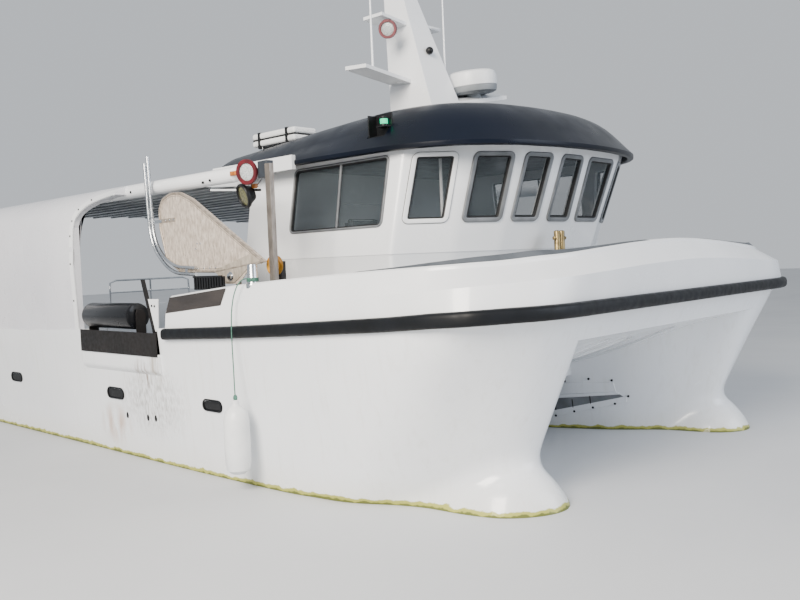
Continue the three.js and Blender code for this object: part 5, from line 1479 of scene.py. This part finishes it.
# %% [markdown]
# The line is hitched round the bollard, passes over the rail and drops straight down under the fender's
# weight, so its route is known and needs no simulation. Braid is matt, and its blotches are 9 mm long,
# about as long as its plaits. The hitch and the knot belong to the same cord.

# %% The lanyard and its hitch
green_line = finish("green_braid", "4d7c6c", "335c4f", (0.6, 0.8), 9, 2.5, 0.5, IOR=1.5)
LINE_THICK = 0.010
# The line's route: the bollard, the rail, the belt fender, the fender's neck.
ROUTE = [(3.196, -2.66, 1.795), (3.186, -2.688, 1.79), (3.176, -2.715, 1.775), (3.169, -2.742, 1.745),
         (3.164, -2.765, 1.7), (3.161, -2.785, 1.645), (3.159, -2.8, 1.58), (3.158, -2.811, 1.51),
         (3.158, -2.817, 1.43), (3.159, -2.821, 1.34), (3.162, -2.824, 1.24), (3.166, -2.826, 1.14),
         (3.178, -2.833, 1.04), (3.191, -2.842, 0.95), (3.206, -2.852, 0.87), (3.222, -2.862, 0.79)]
route = flow(ROUTE, 3)
lanyard = piece("fender_lanyard", tube(route, LINE_THICK / 2, 10), green_line)
BOLLARD_X, BOLLARD_Y, HITCH_RADIUS = 3.228, -2.628, 0.0485


def line_ring(z, around=28, sides=8):
    """One turn of the line round the bollard: a circle's profile carried round a larger circle."""
    angle = np.linspace(0, 2 * math.pi, around, endpoint=False)
    thick = LINE_THICK / 2
    rings = []
    for t in np.linspace(0, 2 * math.pi, sides, endpoint=False):
        radius = HITCH_RADIUS + thick * math.cos(t)
        rings.append(np.stack((BOLLARD_X + radius * np.cos(angle), BOLLARD_Y + radius * np.sin(angle),
                               np.full(around, z + thick * math.sin(t))), 1))
    return shell(rings, joined=True)


hitch = piece("lanyard_hitch", merged(*(line_ring(z) for z in (1.772, 1.783, 1.794))), green_line)
knot_line = [(0.008, -0.028), (0.016, -0.018), (0.019, 0.0), (0.016, 0.016), (0.007, 0.026)]
knot = piece("lanyard_knot", turned(knot_line, (3.22, -2.86, 0.806), (0, 0, 1), 16), green_line)

# %% [markdown]
# ## Helm seat cushions
# Each pad is cut foam in a sewn vinyl cover, so it is fullest in the middle and pinched at its seams.
# Sculpting would be guesswork, so a slightly small block is blown up as cloth, with its swelling held
# to a limit, and a welt of piping goes round its edge.

# %% Keep a shape, read its points
# Metres between the mesh's points, steps of the simulation, its pressure, the welt's radius, and how
# far a pad stays inside its solid's box.
VOXEL, STEPS, PRESSURE, WELT, CLEAR = 0.006, 20, 4.0, 0.004, 0.0005


def baked(target):
    """Keeps a piece's modified shape as its mesh."""
    bpy.context.view_layer.update()
    ready = target.evaluated_get(bpy.context.evaluated_depsgraph_get())
    old, target.data = target.data, bpy.data.meshes.new_from_object(ready)
    target.modifiers.clear()
    bpy.data.meshes.remove(old)


def points_of(mesh):
    """A mesh's points as rows of x, y, z."""
    flat = np.empty(len(mesh.vertices) * 3)
    mesh.vertices.foreach_get("co", flat)
    return flat.reshape(-1, 3)


# %% One sewn pad
def sewn_pad(name, node, swell):
    """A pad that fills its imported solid's box: it starts smaller on each side by swell and is blown
    up again, and no point moves further than swell."""
    corner, far = (np.array(value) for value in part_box(node))
    shrink = np.array(swell)
    a, b = corner + shrink, far - shrink
    made = piece(name, block(*np.stack((a, b), 1).ravel()), vinyl, stands_for=(node,))
    remesh = made.modifiers.new("even mesh", "REMESH")
    remesh.mode, remesh.voxel_size = "VOXEL", VOXEL
    baked(made)
    start = points_of(made.data)
    cloth = made.modifiers.new("fill", "CLOTH")
    cloth.settings.use_pressure = True
    cloth.settings.uniform_pressure_force = PRESSURE
    cloth.settings.effector_weights.gravity = 0.0
    for step in range(1, STEPS + 1):
        bpy.context.scene.frame_set(step)
    baked(made)
    bpy.context.scene.frame_set(1)
    moved = points_of(made.data) - start
    far_moved = np.maximum(np.linalg.norm(moved, axis=1), 1e-9)[:, None]
    held = start + moved * np.minimum(1.0, shrink.max() / far_moved)
    held = np.clip(held, corner + CLEAR, far - CLEAR)
    made.data.vertices.foreach_set("co", held.ravel())
    made.data.polygons.foreach_set("use_smooth", np.ones(len(made.data.polygons), bool))
    smooth = made.modifiers.new("fine", "SUBSURF")
    smooth.levels = smooth.render_levels = 1
    print(name, "swelled by up to", round(float(far_moved.max()) * 1000, 1), "mm")
    return a, b


# %% Both pads and their welts
# Columns: piece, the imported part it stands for, swelling on each axis, the axis it is thin along.
PADS = [("cushion_pad", "helm_seat_cushion", (0.014, 0.014, 0.016), 2),
        ("backrest_pad", "helm_seat_back", (0.016, 0.014, 0.014), 0)]
for name, node, swell, flat_axis in PADS:
    a, b = sewn_pad(name, node, swell)
    u, v = [k for k in range(3) if k != flat_axis]
    middle = (a + b) / 2
    outline = ease_outline(np.array([(a[u], a[v]), (b[u], a[v]), (b[u], b[v]), (a[u], b[v])]), 0.03)
    loop = np.insert(np.vstack((outline, outline[:1])), flat_axis, middle[flat_axis], axis=1)
    piece(name.replace("pad", "welt"), tube(loop, WELT, 8), gasket_rubber)

# %% [markdown]
# ## Finishes for the rest
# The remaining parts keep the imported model's shapes. Their meshes are loose triangles, so a weld and a
# small bevel are added as modifiers, which leaves the mesh itself alone; then each gets its finish.

# %% Dress the carried-over parts
DRESS = {
    hull_gelcoat: "keel_port keel_starboard",
    white_gelcoat: "canopy_roof wheelhouse_aft_wall aft_door mast stern_gate foredeck_hatch_coaming",
    cabin_grey: "helm_console",
    charcoal_steel: "helm_seat_base gap_plate roller_cradle",
    stainless: "stern_rail_starboard stern_rail_port",
    pole_alloy: "light_pole",
    non_slip: "foredeck_hatch engine_hatch_starboard engine_hatch_port",
    bronze: "propeller_starboard rudder_starboard propeller_port rudder_port",
}
EASED = {"mast": 0.02, "canopy_roof": 0.01, "aft_door": 0.003}    # the others' edges are eased by EASE
EASE, WELD = 0.004, 0.0002
for material, names in DRESS.items():
    for name in names.split():
        node = nodes[name]
        node.data.materials.clear()
        node.data.materials.append(material)
        weld = node.modifiers.new("weld", "WELD")
        weld.merge_threshold = WELD
        edge = node.modifiers.new("eased edges", "BEVEL")
        edge.width, edge.segments, edge.limit_method = EASED.get(name, EASE), 2, "ANGLE"
        edge.angle_limit = math.radians(40)
print("dressed", sum(len(names.split()) for names in DRESS.values()), "carried-over parts")

# %% [markdown]
# ## Stage
# A plain pale floor lies at the waterline. A large soft key light stands behind the camera to the
# left, a weaker one fills from the right, and an even pale sky does the rest.

# %% Floor and lights
FLOOR_HALF = 60.0
floor_mesh = bpy.data.meshes.new("floor")
square = [(-1, -1), (1, -1), (1, 1), (-1, 1)]
floor_mesh.from_pydata([(FLOOR_HALF * x, FLOOR_HALF * y, 0) for x, y in square], [], [(0, 1, 2, 3)])
floor = bpy.data.objects.new("floor", floor_mesh)
bpy.context.scene.collection.objects.link(floor)
floor_mesh.materials.append(finish("pale_floor", "c9cbcd", "c2c4c7", (0.55, 0.7), 3000, 20, 0.02))
world = bpy.data.worlds.new("sky")
world.use_nodes = True
sky = world.node_tree.nodes["Background"]
sky.inputs["Color"].default_value = linear("dfe4ea")
sky.inputs["Strength"].default_value = 0.85
bpy.context.scene.world = world


def soft_light(name, at, look_at, size, watts, colour):
    """A square area light that faces a point."""
    data = bpy.data.lights.new(name, "AREA")
    data.shape, data.size, data.energy, data.color = "SQUARE", size, watts, linear(colour)[:3]
    lamp = bpy.data.objects.new(name, data)
    lamp.location = at
    lamp.rotation_euler = (Vector(look_at) - Vector(at)).to_track_quat("-Z", "Y").to_euler()
    bpy.context.scene.collection.objects.link(lamp)
    print(name, "light:", watts, "W,", size, "m wide")


soft_light("key", (8.0, -14.0, 9.0), (2.5, -1.5, 1.2), 7.0, 4800, "fff6ea")
soft_light("fill", (16.0, 4.0, 6.0), (3.0, 0.0, 1.5), 8.0, 900, "e8f0ff")
